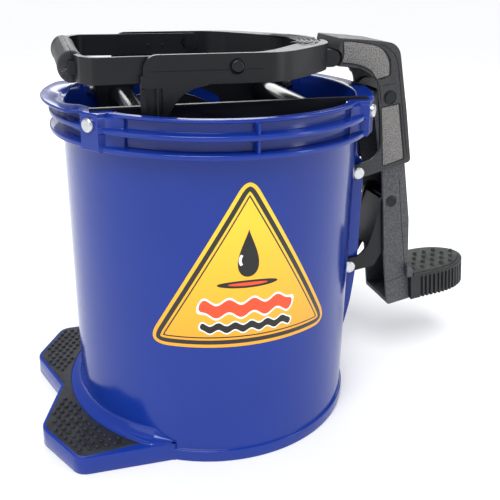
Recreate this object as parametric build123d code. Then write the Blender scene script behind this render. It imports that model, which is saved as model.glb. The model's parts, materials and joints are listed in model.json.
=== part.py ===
from build123d import *
import os
from math import cos, hypot, radians, sin

# A pedal-operated wringer bucket: a moulded bucket with a foot plate, two side plates that carry
# a fixed roller, and a yoke that a pedal linkage pulls so that a second roller closes on the first.
# The origin is on the bucket's axis at the floor. +X points to the pedal, +Z up, in millimetres.
# The object is symmetric about the XZ plane.

# ---- bucket -----------------------------------------------------------------------------------
bucket_height = 310.0
collar_radius = 137.6        # outside of the wall just under the rim
base_radius = 133.7          # outside of the wall just above the foot band
bucket_wall = 4.0
bucket_floor = 5.0
foot_band_radius = base_radius + 2.5
foot_band_height = 10.9
rim_thickness = 3.0
rim_overhang = 4.6
pour_lip_overhang = 17.4
pedal_lip_overhang = 12.6
lip_half_angle = 31.0
spout_half_angle = 17.0
spout_depth = 9.0
fin_overhang = 11.0
fin_thickness = 4.5
fin_drops = (11.3, 26.0)     # from the rim's top to the top of each fin
collar_depth = fin_drops[1] + fin_thickness
boss_angle = 36.5            # of each corner boss from the X axis
boss_width = 21.0
boss_overhang = 13.4
boss_pad_width = 26.0
boss_pad_depth = 1.6
collar_web = 3.0

# ---- foot plate -------------------------------------------------------------------------------
foot_height = 17.2
foot_reach = 43.4            # of the lobes beyond the base wall, towards -X
foot_notch_reach = 22.3
foot_lobe_y = 64.0
foot_corner_y = 118.0
foot_cove = 11.8             # width of the rounded band between the wall and the pad
pad_inset = 3.0
pad_depth = 1.5
pad_proud = 0.6
stud_radius = 1.9
stud_height = 1.3
stud_pitch = 8.2

# ---- label ------------------------------------------------------------------------------------
label_bottom = 114.0
label_width = 176.0          # between its sharp corners, before rounding
label_height = 153.0
label_corner = 11.0
label_thickness = 0.4
label_offset = -4.0

# ---- wringer ----------------------------------------------------------------------------------
plate_middle_y = 82.0
plate_thickness = 4.0
plate_drop = 1.5             # from the rim's top to the plates' top edge
plate_depth = 56.0
plate_tip_reach = 9.5        # of the plates' tips past the wall, onto the rim
plate_flange = 6.0
roller_radius = 12.5
roller_wall = 2.5
roller_drop = 18.0           # from the rim's top to the rollers' axes
fixed_roller_x = 77.0
moving_roller_x = -75.0
axle_radius = 4.0
running_gap = 0.06           # radial, of a shaft that turns in a hole
slot_gap = 1.2               # radial, of the moving axle in the guide slot
side_gap = 1.0               # between a roller's end and a side plate

# ---- yoke -------------------------------------------------------------------------------------
yoke_low, yoke_high = 20.0, 44.0       # above the rim
yoke_half_width = 97.0
yoke_wall = 4.5
yoke_left_x = -79.0
yoke_leg_low = -30.0                   # the leg's lower end, below the rim
yoke_leg_left, yoke_leg_right = -81.0, -60.0
yoke_top_plate = 4.0
knuckle_drop = 16.0                    # from the yoke's top to the hinge pin
knuckle_radius = 8.0
knuckle_half_width = 27.0
knuckle_overlap = 3.0
hinge_pin_radius = 3.0
tongue_half_width = 9.0
tongue_gap = 0.8

# ---- bail -------------------------------------------------------------------------------------
bail_pivot_x = -3.5
bail_low, bail_high = 21.5, 42.5       # above the rim
bail_wall = 4.5
bail_side_gap = 0.8
bail_left_x = -131.0
grip_half_length = 63.0
grip_width, grip_height = 22.0, 26.0
bail_bolt_radius = 3.0

# ---- pedal linkage ----------------------------------------------------------------------------
ear_half_width, ear_thickness = 18.0, 5.0
lever_pivot = (collar_radius + 4.4, bucket_height - 85.0)
link_pivot = (lever_pivot[0], lever_pivot[1] - 104.0)
leg_pivot = (lever_pivot[0] + 30.0, lever_pivot[1] + 74.0)
leg_link_pivot = (link_pivot[0] + 42.0, link_pivot[1] + 69.0)
yoke_hinge = (lever_pivot[0] - 32.5, bucket_height + yoke_high - knuckle_drop)
cheek_thickness = 3.0
cheek_gap = 0.5                        # between nested cheeks
link_half_width = ear_half_width + cheek_gap + cheek_thickness
leg_half_width = link_half_width + cheek_gap + cheek_thickness
lever_half_width = leg_half_width + cheek_gap + cheek_thickness
pivot_bolt_radius = 3.0
leg_pin_radius = 4.0
link_pin_radius = 3.0
link_pin_play = 2.4                    # radial, at the pivot where the closed linkage is opened
panel_depth = 0.8

# ---- pedal ------------------------------------------------------------------------------------
pedal_slope = 5.5                      # degrees above level, towards +X
pedal_half_width = 31.0
pedal_length = 76.0
pedal_thickness = 28.0
pedal_rib_pitch = 5.0
tread_thickness = 2.0

# ---- travel -----------------------------------------------------------------------------------
lever_travel = 52.0                    # degrees
yoke_turn_ratio = -0.95                # of the yoke on the lever, per degree of the lever

roller_z = bucket_height - roller_drop
plate_inner_y = plate_middle_y - plate_thickness / 2
plate_outer_y = plate_middle_y + plate_thickness / 2
roller_half_length = plate_inner_y - side_gap


# ---- helpers ----------------------------------------------------------------------------------
def side_face(points, radii, y=0.0):
    """A closed outline of (x, z) points with rounded corners, on the plane at y."""
    return Plane.XZ.offset(-y) * make_face(FilletPolyline(*points, radius=radii, close=True))


def side_solid(points, radii, y_low, y_high):
    """That outline as a plate between two values of y."""
    return extrude(side_face(points, radii, y_high), amount=y_high - y_low)


def both_sides(solid):
    """The solid and its mirror image in the XZ plane."""
    return [solid, mirror(solid, Plane.XZ)]


def plan_solid(points, radii, z_low, z_high):
    """A closed outline of (x, y) points with rounded corners, as a block between two heights."""
    face = make_face(FilletPolyline(*points, radius=radii, close=True))
    return Pos(0, 0, z_low) * extrude(face, amount=z_high - z_low)


def rod_y(x, z, radius, y_low, y_high):
    """A round bar along Y."""
    middle = (y_low + y_high) / 2
    return Pos(x, middle, z) * Rot(90, 0, 0) * Cylinder(radius, y_high - y_low)


def tube_y(x, z, outer, inner, y_low, y_high):
    return rod_y(x, z, outer, y_low, y_high) - rod_y(x, z, inner, y_low - 1, y_high + 1)


def box(x_low, x_high, y_low, y_high, z_low, z_high):
    size = (x_high - x_low, y_high - y_low, z_high - z_low)
    return Pos((x_low + x_high) / 2, (y_low + y_high) / 2, (z_low + z_high) / 2) * Box(*size)


def ring_sector(r_low, r_high, z_low, z_high, middle_angle, half_angle):
    """Part of a flat ring about the bucket's axis."""
    face = Plane.XZ * Pos((r_low + r_high) / 2, (z_low + z_high) / 2) * Rectangle(
        r_high - r_low, z_high - z_low)
    return Rot(0, 0, middle_angle - half_angle) * revolve(face, Axis.Z, 2 * half_angle)


def turned(profile):
    """A full turn of an (r, z) profile about the bucket's axis."""
    return revolve(Plane.XZ * make_face(Polyline(*profile, close=True)), Axis.Z)


def turned_point(point, pivot, angle):
    dx, dz = point[0] - pivot[0], point[1] - pivot[1]
    c, s = cos(radians(angle)), sin(radians(angle))
    return (pivot[0] + dx * c + dz * s, pivot[1] - dx * s + dz * c)


def wall_radius(z):
    """Outside of the tapering wall at a height."""
    share = (z - foot_band_height) / (bucket_height - rim_thickness - foot_band_height)
    return base_radius + (collar_radius - base_radius) * share


def group(solids):
    return Compound(children=[part for solid in solids for part in solid.solids()])


def bolt_y(x, z, radius, head_radius, head_y, end_y):
    """A bolt along Y with its domed head at head_y and its shank to end_y."""
    out = 1 if head_y > end_y else -1
    head = rod_y(x, z, head_radius, *sorted((head_y, head_y + out * head_radius * 0.6)))
    rim_edges = head.edges().filter_by(GeomType.CIRCLE).sort_by(Axis.Y)
    head = fillet(rim_edges[-1 if out > 0 else 0], head_radius * 0.35)
    return head + rod_y(x, z, radius, *sorted((head_y, end_y)))


def nut_y(x, z, radius, across, y_low, y_high):
    """A hexagonal nut about a bar along Y."""
    blank = Pos(x, y_high, z) * Rot(90, 0, 0) * extrude(
        RegularPolygon(across / 2, 6, major_radius=False), amount=y_high - y_low)
    return blank - rod_y(x, z, radius, y_low - 1, y_high + 1)


# ---- bucket -----------------------------------------------------------------------------------
def boss_places():
    """The angles of the four corner bosses."""
    return [boss_angle, 180 - boss_angle, 180 + boss_angle, 360 - boss_angle]


def radial_rod(angle, z, radius, r_low, r_high):
    """A round bar that points out from the bucket's axis."""
    middle = (r_low + r_high) / 2
    return Rot(0, 0, angle) * Pos(middle, 0, z) * Rot(0, 90, 0) * Cylinder(radius, r_high - r_low)


boss_outer = collar_radius + boss_overhang
boss_bolt_z = bucket_height - 9.4
boss_bolt_radius = 3.0
boss_inner = collar_radius - bucket_wall - boss_pad_depth
fin_radius = collar_radius + fin_overhang


def bucket_shell():
    top, inner_base = bucket_height, base_radius - bucket_wall
    inner_top = collar_radius - bucket_wall
    return turned([
        (0, 0), (foot_band_radius, 0), (foot_band_radius, foot_band_height - 1),
        (foot_band_radius - 1, foot_band_height), (base_radius, foot_band_height),
        (collar_radius, top - rim_thickness), (collar_radius + rim_overhang, top - rim_thickness),
        (collar_radius + rim_overhang, top), (inner_top, top), (inner_base, bucket_floor),
        (0, bucket_floor)])


def collar():
    """Lips, fins, corner bosses and the upright webs between the fins."""
    top, root = bucket_height, collar_radius - bucket_wall / 2
    pieces = [
        ring_sector(root, collar_radius + pour_lip_overhang, top - rim_thickness, top, 180,
                    lip_half_angle),
        ring_sector(root, collar_radius + pedal_lip_overhang, top - rim_thickness, top, 0,
                    lip_half_angle)]
    for drop in fin_drops:
        outer = Cylinder(fin_radius, fin_thickness)
        hollow = Cylinder(root, fin_thickness + 1)
        pieces.append(Pos(0, 0, top - drop - fin_thickness / 2) * (outer - hollow))
    low = top - collar_depth
    for angle in boss_places():
        block = box(boss_inner, boss_outer, -boss_width / 2, boss_width / 2, low, top)
        pad = box(boss_inner, collar_radius - 1, -boss_pad_width / 2, boss_pad_width / 2, low, top)
        pieces += [Rot(0, 0, angle) * block, Rot(0, 0, angle) * pad]
        towards_middle = 1 if angle < 90 or 180 < angle < 270 else -1
        pieces.append(ring_sector(root, fin_radius - 3, low, top - 1,
                                  angle + towards_middle * 7.0, 3.6))
    for angle in (90, 270):
        web = box(root, fin_radius - 2, -collar_web / 2, collar_web / 2, low, top - 1)
        pieces.append(Rot(0, 0, angle) * web)
    return pieces


def spout():
    """A shallow trough cut into the pour lip, wider at its mouth."""
    mouth = collar_radius + 6
    cutter = revolve(Plane.XZ * make_face(Polyline(
        (collar_radius - bucket_wall - 2, bucket_height + 1), (mouth, bucket_height + 1),
        (mouth, bucket_height), (collar_radius - bucket_wall - 2, bucket_height - spout_depth),
        close=True)), Axis.Z, 2 * spout_half_angle)
    return Rot(0, 0, 180 - spout_half_angle) * cutter


def foot_outline(inset=0.0):
    """The foot plate seen from above: two lobes with a notch between them."""
    lobe_x = -(base_radius + foot_reach) + inset
    corner_x = lobe_x + 29
    tip_x = -base_radius * 0.48
    side_y = foot_corner_y - inset
    upper = [(lobe_x, foot_lobe_y - inset * 0.3), (corner_x, side_y), (tip_x, side_y + 2)]
    lower = [(x, -y) for x, y in reversed(upper)]
    notch = (-(base_radius + foot_notch_reach) + inset, 0)
    return [notch] + upper + lower


def foot():
    top = foot_height
    slab = plan_solid(foot_outline(), [3, 8, 8, 1, 1, 8, 8], 0, top)
    slab = fillet(slab.edges().group_by(Axis.Z)[-1], 0.9)
    cove = turned([(base_radius - 2, top - 1), (base_radius + foot_cove, top - 1),
                   (base_radius + foot_cove, top), (base_radius + foot_cove * 0.45, top + 2.2),
                   (base_radius + foot_cove * 0.15, top + 6), (base_radius - 2, top + 16)])
    keep = plan_solid(foot_outline(), [3, 8, 8, 1, 1, 8, 8], 0, 4 * top)
    return (slab + (cove & keep)) - Cylinder(base_radius - bucket_wall / 2, 8 * top)


def pad_outline_solid(z_low, z_high, inset):
    """The rubber pad's plan: the foot plate's lobes outside the rounded band."""
    lobes = plan_solid(foot_outline(inset), [2, 6, 6, 1, 1, 6, 6], z_low, z_high)
    inner = base_radius + foot_cove + inset - pad_inset
    band = Pos(0, 0, (z_low + z_high) / 2) * Cylinder(inner, z_high - z_low + 2)
    cut_back = base_radius * 0.70
    beyond = box(-cut_back, 300, -300, 300, z_low - 1, z_high + 1)
    return lobes - band - beyond


def ear(sign):
    """One of the two upright ribs that the linkage pivots in."""
    wall_x = collar_radius - bucket_wall / 2 - 3
    a_x, a_z = lever_pivot
    b_z = link_pivot[1]
    outline = [
        (wall_x, bucket_height - collar_depth + 1), (a_x + 1.5, bucket_height - collar_depth + 1),
        (a_x + 3.8, a_z + 16), (a_x + 11.5, a_z + 7), (a_x + 11.6, b_z + 15),
        (a_x + 9.7, b_z - 9), (a_x + 6, b_z - 42), (a_x - 0.5, b_z - 71), (wall_x, b_z - 84)]
    low, high = sorted((sign * ear_half_width, sign * (ear_half_width - ear_thickness)))
    return side_solid(outline, 1.5, low, high)


def ear_webs():
    """Two level webs that tie the ears together."""
    webs = []
    for z in ((lever_pivot[1] + link_pivot[1]) / 2, link_pivot[1] - 30):
        webs.append(box(wall_radius(z) - 1, lever_pivot[0] + 5, -ear_half_width + 1,
                        ear_half_width - 1, z - 1.5, z + 1.5))
    return webs


def bucket_body():
    body = bucket_shell()
    for piece in collar() + [foot(), ear(1), ear(-1)] + ear_webs():
        body += piece
    inside = turned([(0, bucket_floor), (base_radius - bucket_wall, bucket_floor),
                     (collar_radius - bucket_wall, bucket_height - collar_depth - 6), (0, 250)])
    body -= inside
    for angle in boss_places():
        body -= radial_rod(angle, boss_bolt_z, boss_bolt_radius + 0.2, boss_inner - 5,
                           boss_outer + 5)
    for x, z in (lever_pivot, link_pivot):
        body -= rod_y(x, z, pivot_bolt_radius, -ear_half_width - 1, ear_half_width + 1)
    body -= pad_outline_solid(foot_height - pad_depth, foot_height + 30, pad_inset)
    body -= spout()
    for piece in plate_pegs():
        body -= piece
    return body


def stud_places():
    """A staggered grid over the foot pad's two lobes, kept inside its edge."""
    places = []
    rows = int(2 * foot_corner_y / stud_pitch)
    for row in range(rows):
        y = -foot_corner_y + (row + 0.5) * stud_pitch
        for column in range(16):
            x = -(base_radius + foot_reach) + (column + 0.5 * (row % 2)) * stud_pitch + 3
            places.append((x, y))
    return places


def anti_slip_pad():
    low, high = foot_height - pad_depth, foot_height + pad_proud
    pad = pad_outline_solid(low, high, pad_inset + 0.05)
    zone = pad_outline_solid(high - 1, high, pad_inset + stud_radius + 2)
    zone_top = zone.faces().sort_by(Axis.Z)[-1]
    stud = Cylinder(stud_radius, stud_height + 0.5)
    studs = []
    for x, y in stud_places():
        if abs(y) > foot_lobe_y * 0.35 and zone_top.distance_to(Vertex(x, y, high)) < 0.01:
            studs.append(Pos(x, y, high + stud_height / 2 - 0.25) * stud)
    return pad + studs


def safety_label():
    half = label_width / 2
    outline = [(label_offset - half, label_bottom), (label_offset + half, label_bottom),
               (label_offset, label_bottom + label_height)]
    prism = side_solid(outline, label_corner, -2 * collar_radius, -base_radius * 0.4)
    low, high = label_bottom - 5, label_bottom + label_height + 5
    skin = turned([(wall_radius(low), low), (wall_radius(low) + label_thickness, low),
                   (wall_radius(high) + label_thickness, high), (wall_radius(high), high)])
    return skin & prism


# ---- wringer ----------------------------------------------------------------------------------
plate_top = bucket_height - plate_drop
plate_low = plate_top - plate_depth


def chord(radius, y):
    """Half the width of a circle about the bucket's axis, at distance y from its middle."""
    return (radius ** 2 - y ** 2) ** 0.5


plate_tip_x = chord(collar_radius, plate_middle_y) + plate_tip_reach


def plate_pegs():
    """The peg under each plate tip, which sits in a hole in the rim."""
    peg = Pos(0, 0, bucket_height - rim_thickness / 2) * Cylinder(2.0, rim_thickness + 1)
    x, y = plate_tip_x - 5, plate_middle_y
    return [Pos(side_x * x, side_y * y, 0) * peg for side_x in (1, -1) for side_y in (1, -1)]


def roller_path(share):
    """Where the moving roller's axle is when the lever has made a share of its travel."""
    turn = lever_travel * share
    hinge = turned_point(yoke_hinge, lever_pivot, turn)
    start = (moving_roller_x + hinge[0] - yoke_hinge[0], roller_z + hinge[1] - yoke_hinge[1])
    return turned_point(start, hinge, turn * (1 + yoke_turn_ratio))


def guide_slot(y_low, y_high):
    """The curved slot that the moving axle runs in."""
    radius = axle_radius + slot_gap
    path = [roller_path(share / 8) for share in range(9)]
    edge_up, edge_down = [], []
    for index, (x, z) in enumerate(path):
        before, after = path[max(index - 1, 0)], path[min(index + 1, 8)]
        length = hypot(after[0] - before[0], after[1] - before[1])
        nx, nz = -(after[1] - before[1]) / length, (after[0] - before[0]) / length
        edge_up.append((x + radius * nx, z + radius * nz))
        edge_down.append((x - radius * nx, z - radius * nz))
    band = make_face([Spline(*edge_up), Line(edge_up[-1], edge_down[-1]),
                      Spline(*reversed(edge_down)), Line(edge_down[0], edge_up[0])])
    solid = extrude(Plane.XZ.offset(-y_high) * band, amount=y_high - y_low)
    for x, z in (path[0], path[-1]):
        solid += rod_y(x, z, radius, y_low, y_high)
    return solid


def side_plate(sign):
    """One side plate: a deep web with a top flange whose tips rest on the rim."""
    low, high = plate_inner_y, plate_outer_y
    inner_wall = collar_radius - bucket_wall
    half_top = chord(inner_wall - boss_pad_depth, high) - 2.5
    half_low = chord(inner_wall - 2.5, high) - 6
    outline = [(-half_low, plate_low), (half_low, plate_low), (half_top, plate_top - 12),
               (half_top, plate_top), (-half_top, plate_top), (-half_top, plate_top - 12)]
    plate = side_solid(outline, [8, 8, 2, 1, 1, 2], low, high)
    tip = box(-plate_tip_x, plate_tip_x, low, high, bucket_height, bucket_height + 2.2)
    neck = box(-half_top, half_top, low, high, plate_top - 1, bucket_height + 2.2)
    plate = plate + neck + tip
    plate += side_solid([(-half_low + 6, plate_low + 4), (half_low - 6, plate_low + 4),
                         (half_low - 6, plate_low + 8), (-half_low + 6, plate_low + 8)], 1,
                        low - plate_flange + plate_thickness, high)
    plate -= guide_slot(low - 1, high + 1)
    plate -= rod_y(fixed_roller_x, roller_z, axle_radius, low - 1, high + 1)
    pegs = [peg for peg in plate_pegs() if peg.center().Y > 0]
    for peg in pegs:
        plate += peg
    return plate if sign > 0 else mirror(plate, Plane.XZ)


def plate_bolts():
    bolts = []
    for angle in boss_places():
        shank = radial_rod(angle, boss_bolt_z, boss_bolt_radius, boss_inner - 6, boss_outer + 1)
        head = radial_rod(angle, boss_bolt_z, 6.0, boss_outer, boss_outer + 3.2)
        outer_rim = head.edges().filter_by(GeomType.CIRCLE).sort_by(
            Axis((0, 0, 0), (cos(radians(angle)), sin(radians(angle)), 0)))[-1]
        bolts.append(fillet(outer_rim, 2.0) + shank)
    return group(bolts)


def plate_nuts():
    nuts = []
    for angle in boss_places():
        blank = Rot(0, 0, angle) * Pos(boss_inner - 4, 0, boss_bolt_z) * Rot(0, 90, 0) * extrude(
            RegularPolygon(5.5, 6, major_radius=False), amount=4)
        nuts.append(blank - radial_rod(angle, boss_bolt_z, boss_bolt_radius, 0, boss_outer))
    return group(nuts)


def roller(x):
    """A plastic roller tube that fits between the side plates."""
    inner = roller_radius - roller_wall
    return tube_y(x, roller_z, roller_radius, inner, -roller_half_length, roller_half_length)


def roller_plugs(x):
    """The two bearing plugs pressed into a roller's ends."""
    inner, depth = roller_radius - roller_wall, 14.0
    plug = tube_y(x, roller_z, inner, axle_radius + running_gap, roller_half_length - depth,
                  roller_half_length - 1.0)
    return group(both_sides(plug))


def fixed_roller_axle():
    reach = plate_outer_y + 7
    return rod_y(fixed_roller_x, roller_z, axle_radius, -reach, reach)


def fixed_axle_nuts():
    nut = nut_y(fixed_roller_x, roller_z, axle_radius, 13, plate_outer_y, plate_outer_y + 5)
    return group(both_sides(nut))


# ---- yoke -------------------------------------------------------------------------------------
yoke_z_low, yoke_z_high = bucket_height + yoke_low, bucket_height + yoke_high
bail_z_low, bail_z_high = bucket_height + bail_low, bucket_height + bail_high
bail_pivot_z = (bail_z_low + bail_z_high) / 2 + 1.6
yoke_right_x = yoke_hinge[0] - knuckle_overlap


def yoke_outer_face(inset=0.0):
    """Plan of the yoke: straight arms that draw in to a rounded nose over the hinge."""
    w, nose = yoke_half_width - inset, yoke_right_x - inset
    shoulder = nose - 82
    upper = Spline((shoulder, w), (nose - 56, w * 0.895), (nose - 22, w * 0.575), (nose, 0),
                   tangents=[(1, 0), (0, -1)])
    lower = mirror(upper, Plane.XZ)
    left_x = yoke_left_x + inset
    left = Polyline((shoulder, -w), (left_x, -w), (left_x, w), (shoulder, w))
    return make_face([upper, lower, left])


def yoke_opening(z_low, z_high, grow=0.0):
    """The mouth that the mop goes through, open towards -X between the arms."""
    inner = yoke_half_width - yoke_wall + grow
    nose = yoke_right_x - 28 + grow
    points = [(yoke_left_x - 10, -inner), (nose - 63, -inner), (nose - 45, -inner * 0.86),
              (nose, -inner * 0.31), (nose, inner * 0.31), (nose - 45, inner * 0.86),
              (nose - 63, inner), (yoke_left_x - 10, inner)]
    return plan_solid(points, [1, 20, 30, 18, 18, 30, 20, 1], z_low, z_high)


def yoke_legs():
    """The legs that reach down beside the side plates and carry the moving axle."""
    high_y, low_y = yoke_half_width, yoke_half_width - 4
    left, right = yoke_leg_left, yoke_leg_right
    low, top = bucket_height + yoke_leg_low, yoke_z_low + 8
    rim = bucket_height
    outline = [(left, low), (right, low), (right, rim - 4), (right + 10, rim + 11),
               (right + 21.5, rim + 17.2), (right + 34, rim + 19.4), (right + 34, top), (left, top)]
    leg = side_solid(outline, [6, 6, 3, 20, 12, 3, 0.5, 0.5], low_y, high_y)
    leg -= box(left + 3.5, right - 4, high_y - 2.8, high_y + 1, low + 8, yoke_z_low - 2)
    left_rib = box(left, left + 3.5, high_y - 1, high_y + 2, low + 8, yoke_z_low - 2)
    inner_rib = box(right - 9, right - 7, high_y - 3, high_y - 0.5, low + 7, yoke_z_low - 1)
    hub = rod_y(moving_roller_x, roller_z, axle_radius + 3.5, low_y, high_y + 2)
    leg = leg + left_rib + inner_rib + hub
    return leg - rod_y(moving_roller_x, roller_z, axle_radius, low_y - 1, high_y + 5)


def yoke_ring():
    height = yoke_z_high - yoke_z_low
    block = Pos(0, 0, yoke_z_low) * extrude(yoke_outer_face(), amount=height)
    block -= yoke_opening(yoke_z_low - 1, yoke_z_high + 1)
    hollow = Pos(0, 0, yoke_z_low - 1) * extrude(
        yoke_outer_face(yoke_wall), amount=height + 1 - yoke_top_plate)
    rim = yoke_opening(yoke_z_low - 2, yoke_z_high + 2, yoke_wall * 0.8)
    block -= hollow - rim
    x, z = yoke_hinge
    knuckle = rod_y(x, z, knuckle_radius, -knuckle_half_width, knuckle_half_width)
    root = box(yoke_right_x - 8, x, -knuckle_half_width, knuckle_half_width, z - knuckle_radius,
               z + knuckle_radius)
    block += knuckle + (root - box(x - 30, x + 30, -200, 200, z + 8, z + 40))
    gap = tongue_half_width + tongue_gap
    block -= box(x - knuckle_radius - 1.5, x + 30, -gap, gap, yoke_z_low - 5, yoke_z_high + 5)
    block -= rod_y(x, z, hinge_pin_radius, -knuckle_half_width - 1, knuckle_half_width + 1)
    for leg in both_sides(yoke_legs()):
        block += leg
    corner = box(yoke_left_x - 1, yoke_left_x + 12, -200, 200, yoke_z_high - 12, yoke_z_high + 1)
    round_off = rod_y(yoke_left_x + 12, yoke_z_high - 12, 12, -200, 200)
    block -= corner - round_off
    block -= rod_y(bail_pivot_x, bail_pivot_z, bail_bolt_radius, -200, 200)
    return block - nose_grooves(yoke_right_x - 28)


def nose_grooves(nose_x):
    """Shallow curved grooves in the broad top of the nose."""
    centre = nose_x - 40
    cutters = []
    for index in range(5):
        radius = 40 + 5 + index * 4.6
        ring = Cylinder(radius + 0.8, 1.6) - Cylinder(radius - 0.8, 2)
        sector = box(nose_x - 12, nose_x + 60, -60, 60, -1, 1)
        cutters.append(Pos(0, 0, yoke_z_high) * ((Pos(centre, 0, 0) * ring) & sector))
    limit = Pos(0, 0, yoke_z_high - 3) * extrude(yoke_outer_face(2.5), amount=6)
    block = cutters[0] & limit
    for cutter in cutters[1:]:
        block += cutter & limit
    return block


def moving_roller_axle():
    reach = yoke_half_width + 4
    return rod_y(moving_roller_x, roller_z, axle_radius, -reach, reach)


def moving_axle_clips():
    clip = tube_y(moving_roller_x, roller_z, axle_radius + 3, axle_radius, yoke_half_width + 2,
                  yoke_half_width + 3.2)
    return group(both_sides(clip))


# ---- bail -------------------------------------------------------------------------------------
bail_outer_y = yoke_half_width - yoke_wall - bail_side_gap


def bail_frame():
    outer, left = bail_outer_y, bail_left_x
    end = bail_pivot_x + 12

    def plan(inset):
        y, x = outer - inset, left + inset
        return [(end + inset * 2, y), (end + inset * 2, -y), (yoke_left_x - 4, -y),
                (x + 14, -y - 2), (x + 5, -y + 10), (x, -grip_half_length + 8),
                (x, grip_half_length - 8), (x + 5, y - 10), (x + 14, y + 2), (yoke_left_x - 4, y)]

    radii = [0.5, 0.5, 30, 10, 12, 16, 16, 12, 10, 30]
    height = bail_z_high - bail_z_low
    frame = plan_solid(plan(0), radii, bail_z_low, bail_z_high)
    frame -= plan_solid(plan(bail_wall), radii, bail_z_low - 1, bail_z_high + 1)
    frame -= box(end - 1, end + 40, -200, 200, bail_z_low - 1, bail_z_high + 1)
    grip_room = box(left - 20, left + 20, -grip_half_length, grip_half_length, bail_z_low - 1,
                    bail_z_high + 1)
    frame -= grip_room
    core = box(left - 2, left + bail_wall - 1, -grip_half_length - 8, grip_half_length + 8,
               bail_z_low + height * 0.25, bail_z_high - height * 0.25)
    ends = rod_y(bail_pivot_x, bail_pivot_z, 11.0, -outer, outer)
    trim = box(bail_pivot_x, end + 1, -outer - 1, outer + 1, bail_z_low - 5, bail_z_high + 5) - ends
    frame = (frame - trim) + core
    return frame - rod_y(bail_pivot_x, bail_pivot_z, bail_bolt_radius + running_gap, -200, 200)


def grip_half(sign):
    """One half of the hand grip: an oval shell about the bail's cross bar."""
    middle_x, middle_z = bail_left_x + 1, (bail_z_low + bail_z_high) / 2
    oval = Plane.XZ.offset(-grip_half_length) * Pos(middle_x, middle_z) * Ellipse(
        grip_width / 2, grip_height / 2)
    solid = extrude(oval, amount=2 * grip_half_length)
    solid = fillet(solid.edges().filter_by(GeomType.ELLIPSE), 2.0)
    height = bail_z_high - bail_z_low
    bar = box(bail_left_x - 2, bail_left_x + bail_wall - 1, -grip_half_length - 9,
              grip_half_length + 9, bail_z_low + height * 0.25, bail_z_high - height * 0.25)
    solid -= bar
    low_x, high_x = sorted((middle_x + sign * 0.15, middle_x + sign * 40))
    half = box(low_x, high_x, -200, 200, middle_z - 40, middle_z + 40)
    return solid & half


def bail_bolts():
    outer = yoke_half_width
    bolt = bolt_y(bail_pivot_x, bail_pivot_z, bail_bolt_radius, 5.5, outer, bail_outer_y - 11)
    return group(both_sides(bolt))


def bail_nuts():
    inner = bail_outer_y - bail_wall
    nut = nut_y(bail_pivot_x, bail_pivot_z, bail_bolt_radius, 10, inner - 4.8, inner - 0.3)
    return group(both_sides(nut))


# ---- pedal linkage ----------------------------------------------------------------------------
def lever_outline():
    """Side view of the lever: a hooked arm from the yoke's hinge round to the lower pivot."""
    a_x, a_z = lever_pivot
    k_x, k_z = yoke_hinge
    return [
        (k_x + 7.5, k_z + 18.7), (k_x + 37.7, k_z + 16.3), (k_x + 68.5, k_z + 12.8),
        (a_x + 49.4, a_z + 60.4), (a_x + 58.5, a_z + 7.5), (a_x + 2, a_z - 6.5),
        (a_x - 7, a_z - 6.5), (a_x - 7, a_z + 6), (a_x + 13.7, a_z + 11.6),
        (a_x + 24, a_z + 20), (a_x + 21.5, a_z + 50), (k_x + 47.5, k_z - 19.5),
        (k_x + 29.1, k_z - 9.7), (k_x + 3.1, k_z - 7.0)]


lever_radii = [1, 60, 16, 40, 4, 3, 6, 5, 14, 14, 60, 18, 25, 1]


def lever_hollow():
    """The room between the cheeks, under the outer web."""
    a_x, a_z = lever_pivot
    k_x, k_z = yoke_hinge
    web = cheek_thickness
    return [
        (k_x + 18, k_z + 18.7 - web * 1.2), (k_x + 37.7, k_z + 16.3 - web * 1.1),
        (k_x + 66.5 - web, k_z + 12.8 - web), (a_x + 49.0 - web, a_z + 60.4),
        (a_x + 90, a_z - 30), (a_x - 40, a_z - 30), (a_x - 20, a_z + 60),
        (k_x + 40, k_z - 60), (k_x + 18, k_z - 20)]


def lever_web_end_z():
    """Below this height the lever is only its two cheeks, so that the pedal leg can swing out."""
    return leg_pivot[1] + 13


def lever_casing():
    inner = lever_half_width - cheek_thickness
    k_x, k_z = yoke_hinge
    body = side_solid(lever_outline(), lever_radii, -lever_half_width, lever_half_width)
    body -= rod_y(k_x, k_z, knuckle_radius + 1.5, -lever_half_width - 1, lever_half_width + 1)
    body -= side_solid(lever_hollow(), [1, 60, 12, 40, 1, 1, 1, 1, 1], -inner, inner)
    body -= box(lever_pivot[0] + 20, lever_pivot[0] + 100, -inner, inner, lever_pivot[1] - 60,
                lever_web_end_z())
    tongue = rod_y(k_x, k_z, knuckle_radius - 0.6, -tongue_half_width, tongue_half_width)
    tongue += box(k_x, k_x + 16, -tongue_half_width, tongue_half_width, k_z - 5, k_z + 6)
    body += tongue
    for cut in lever_panels():
        body -= cut
    body -= rod_y(k_x, k_z, hinge_pin_radius + running_gap, -50, 50)
    body -= rod_y(*lever_pivot, pivot_bolt_radius + running_gap, -50, 50)
    body -= rod_y(*leg_pivot, leg_pin_radius, -50, 50)
    return body


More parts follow.
